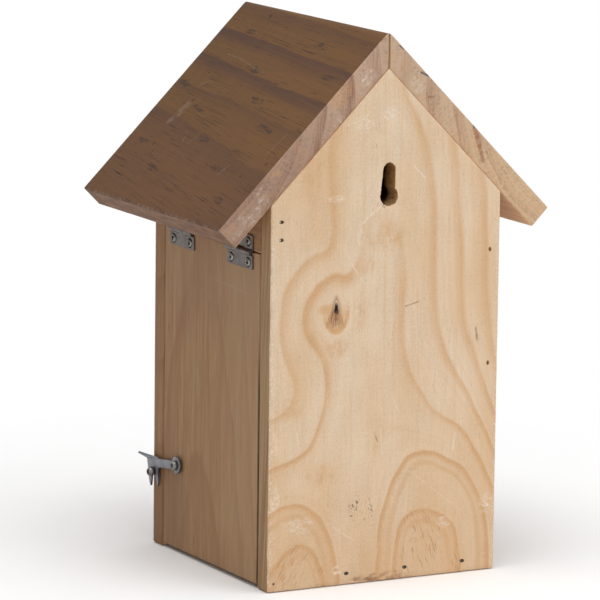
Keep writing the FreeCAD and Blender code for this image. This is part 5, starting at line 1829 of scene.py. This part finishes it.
DOOR_RINGS = (2.0, 0.065, 126.0, 0.52)
FRONT_RINGS = (12.0, 0.05, 48.0, 0.3)
HEADER_RINGS = (205.0, 0.3, 60.0, 0.2)
SIDE_RINGS = (20.0, 0.04, 55.0, 0.6)
FLOOR_RINGS = (0.0, 0.05, 50.0, 0.0)


def paint(node, material):
    """Gives a node of the frame its finish."""
    piece = frame["nodes"][node]
    piece.data.materials.clear()
    piece.data.materials.append(material)


def dress_boards():
    """The boards: gables, door and roof are made anew; the header, fixed side and floor keep their shape."""
    back_board(back_finish())
    front = stained_finish(
        "stained_front", arches(*FRONT_RINGS), "y", "z", "x", outer_of_front, SHELTER_SHADE, front_marks)
    front_board(front)
    door = stained_finish(
        "stained_door", arches(*DOOR_RINGS), "x", "z", "y", outer_of_door, WHITE, door_marks)
    door_board(door)
    header = stained_finish("stained_header", arches(*HEADER_RINGS), "x", "y", "z", outer_of_door, SHELTER_SHADE)
    paint("door_header", header)
    side = stained_finish("stained_side", arches(*SIDE_RINGS), "x", "z", "y", outer_of_fixed_side)
    paint("fixed_side_panel", side)
    paint("floor_panel", stained_finish("raw_floor", arches(*FLOOR_RINGS), "z", "y", "x", nowhere))
    door_slope = roof_finish("roof_door_side", 1.0, DOOR_SIDE_RING, ROOF_KNOTS, ROOF_SCUFFS, DOOR_SIDE_END)
    roof_board("roof_board_door_side", 1, RIDGE_NAILS[:1], DOOR_SLOPE_SEED, door_slope)
    other_knots = [(down + 6, -y) for down, y in ROOF_KNOTS]
    other_scuffs = [((87, -y), (75, 12 - y), 0.8) for y in (-40, 30)]
    fixed_slope = roof_finish(
        "roof_fixed_side", -1.0, FIXED_SIDE_RING, other_knots, other_scuffs, FIXED_SIDE_END)
    roof_board("roof_board_fixed_side", -1, [], FIXED_SLOPE_SEED, fixed_slope)


def dress_metal():
    """Hinges, latch, screws and nails."""
    pewter = metal_finish("hinge_pewter", *PEWTER, 0.42, 3.0)
    zinc = metal_finish("latch_zinc", *HOOK_ZINC, 0.42, 0.4)
    screw = metal_finish("screw_zinc", *LEAF_SCREW_ZINC, 0.4, 0.4)
    bright = metal_finish("latch_screw_zinc", *LATCH_SCREW_ZINC, 0.24, 0.4)
    nail = metal_finish("nail_steel", *PALE_NAIL_GLINT, 0.4, 0.4, True)
    stained_nail = metal_finish("stained_nail", *STAINED_NAIL, 0.6, 0.4)
    for position in HINGE_PLACES:
        hinge_leaf(position, True, pewter)
        hinge_leaf(position, False, pewter)
        hinge_pin(position, pewter)
    hinge_screws("header_screws", LEAF_SCREW_RISE, "carcass", screw, "header_hinge_screws")
    hinge_screws("door_screws", -LEAF_SCREW_RISE, "door", screw, "door_hinge_screws")
    latch_hook(zinc)
    latch_washer(zinc)
    latch_screw("pivot_screw", "latch_pivot_screw", PIVOT, "door", PIVOT_DOME, PIVOT_TURN, bright)
    latch_screw("keeper_screw", "latch_keeper_screw", KEEPER, "carcass", KEEPER_DOME, KEEPER_TURN, bright)
    panel_nails("back_nails", BACK_Y, 1, nail, "back_panel_nails")
    panel_nails("front_nails", FRONT_Y, -1, nail, "front_panel_nails")
    for node in ("roof_nails", "ridge_nails", "fixed_side_nails"):
        paint(node, stained_nail)


dress_boards()
dress_metal()
camera()
world()
soft_lamp("key", *KEY_LAMP)
soft_lamp("top", *TOP_LAMP)
floor()
bpy.context.scene.view_settings.view_transform = "Standard"
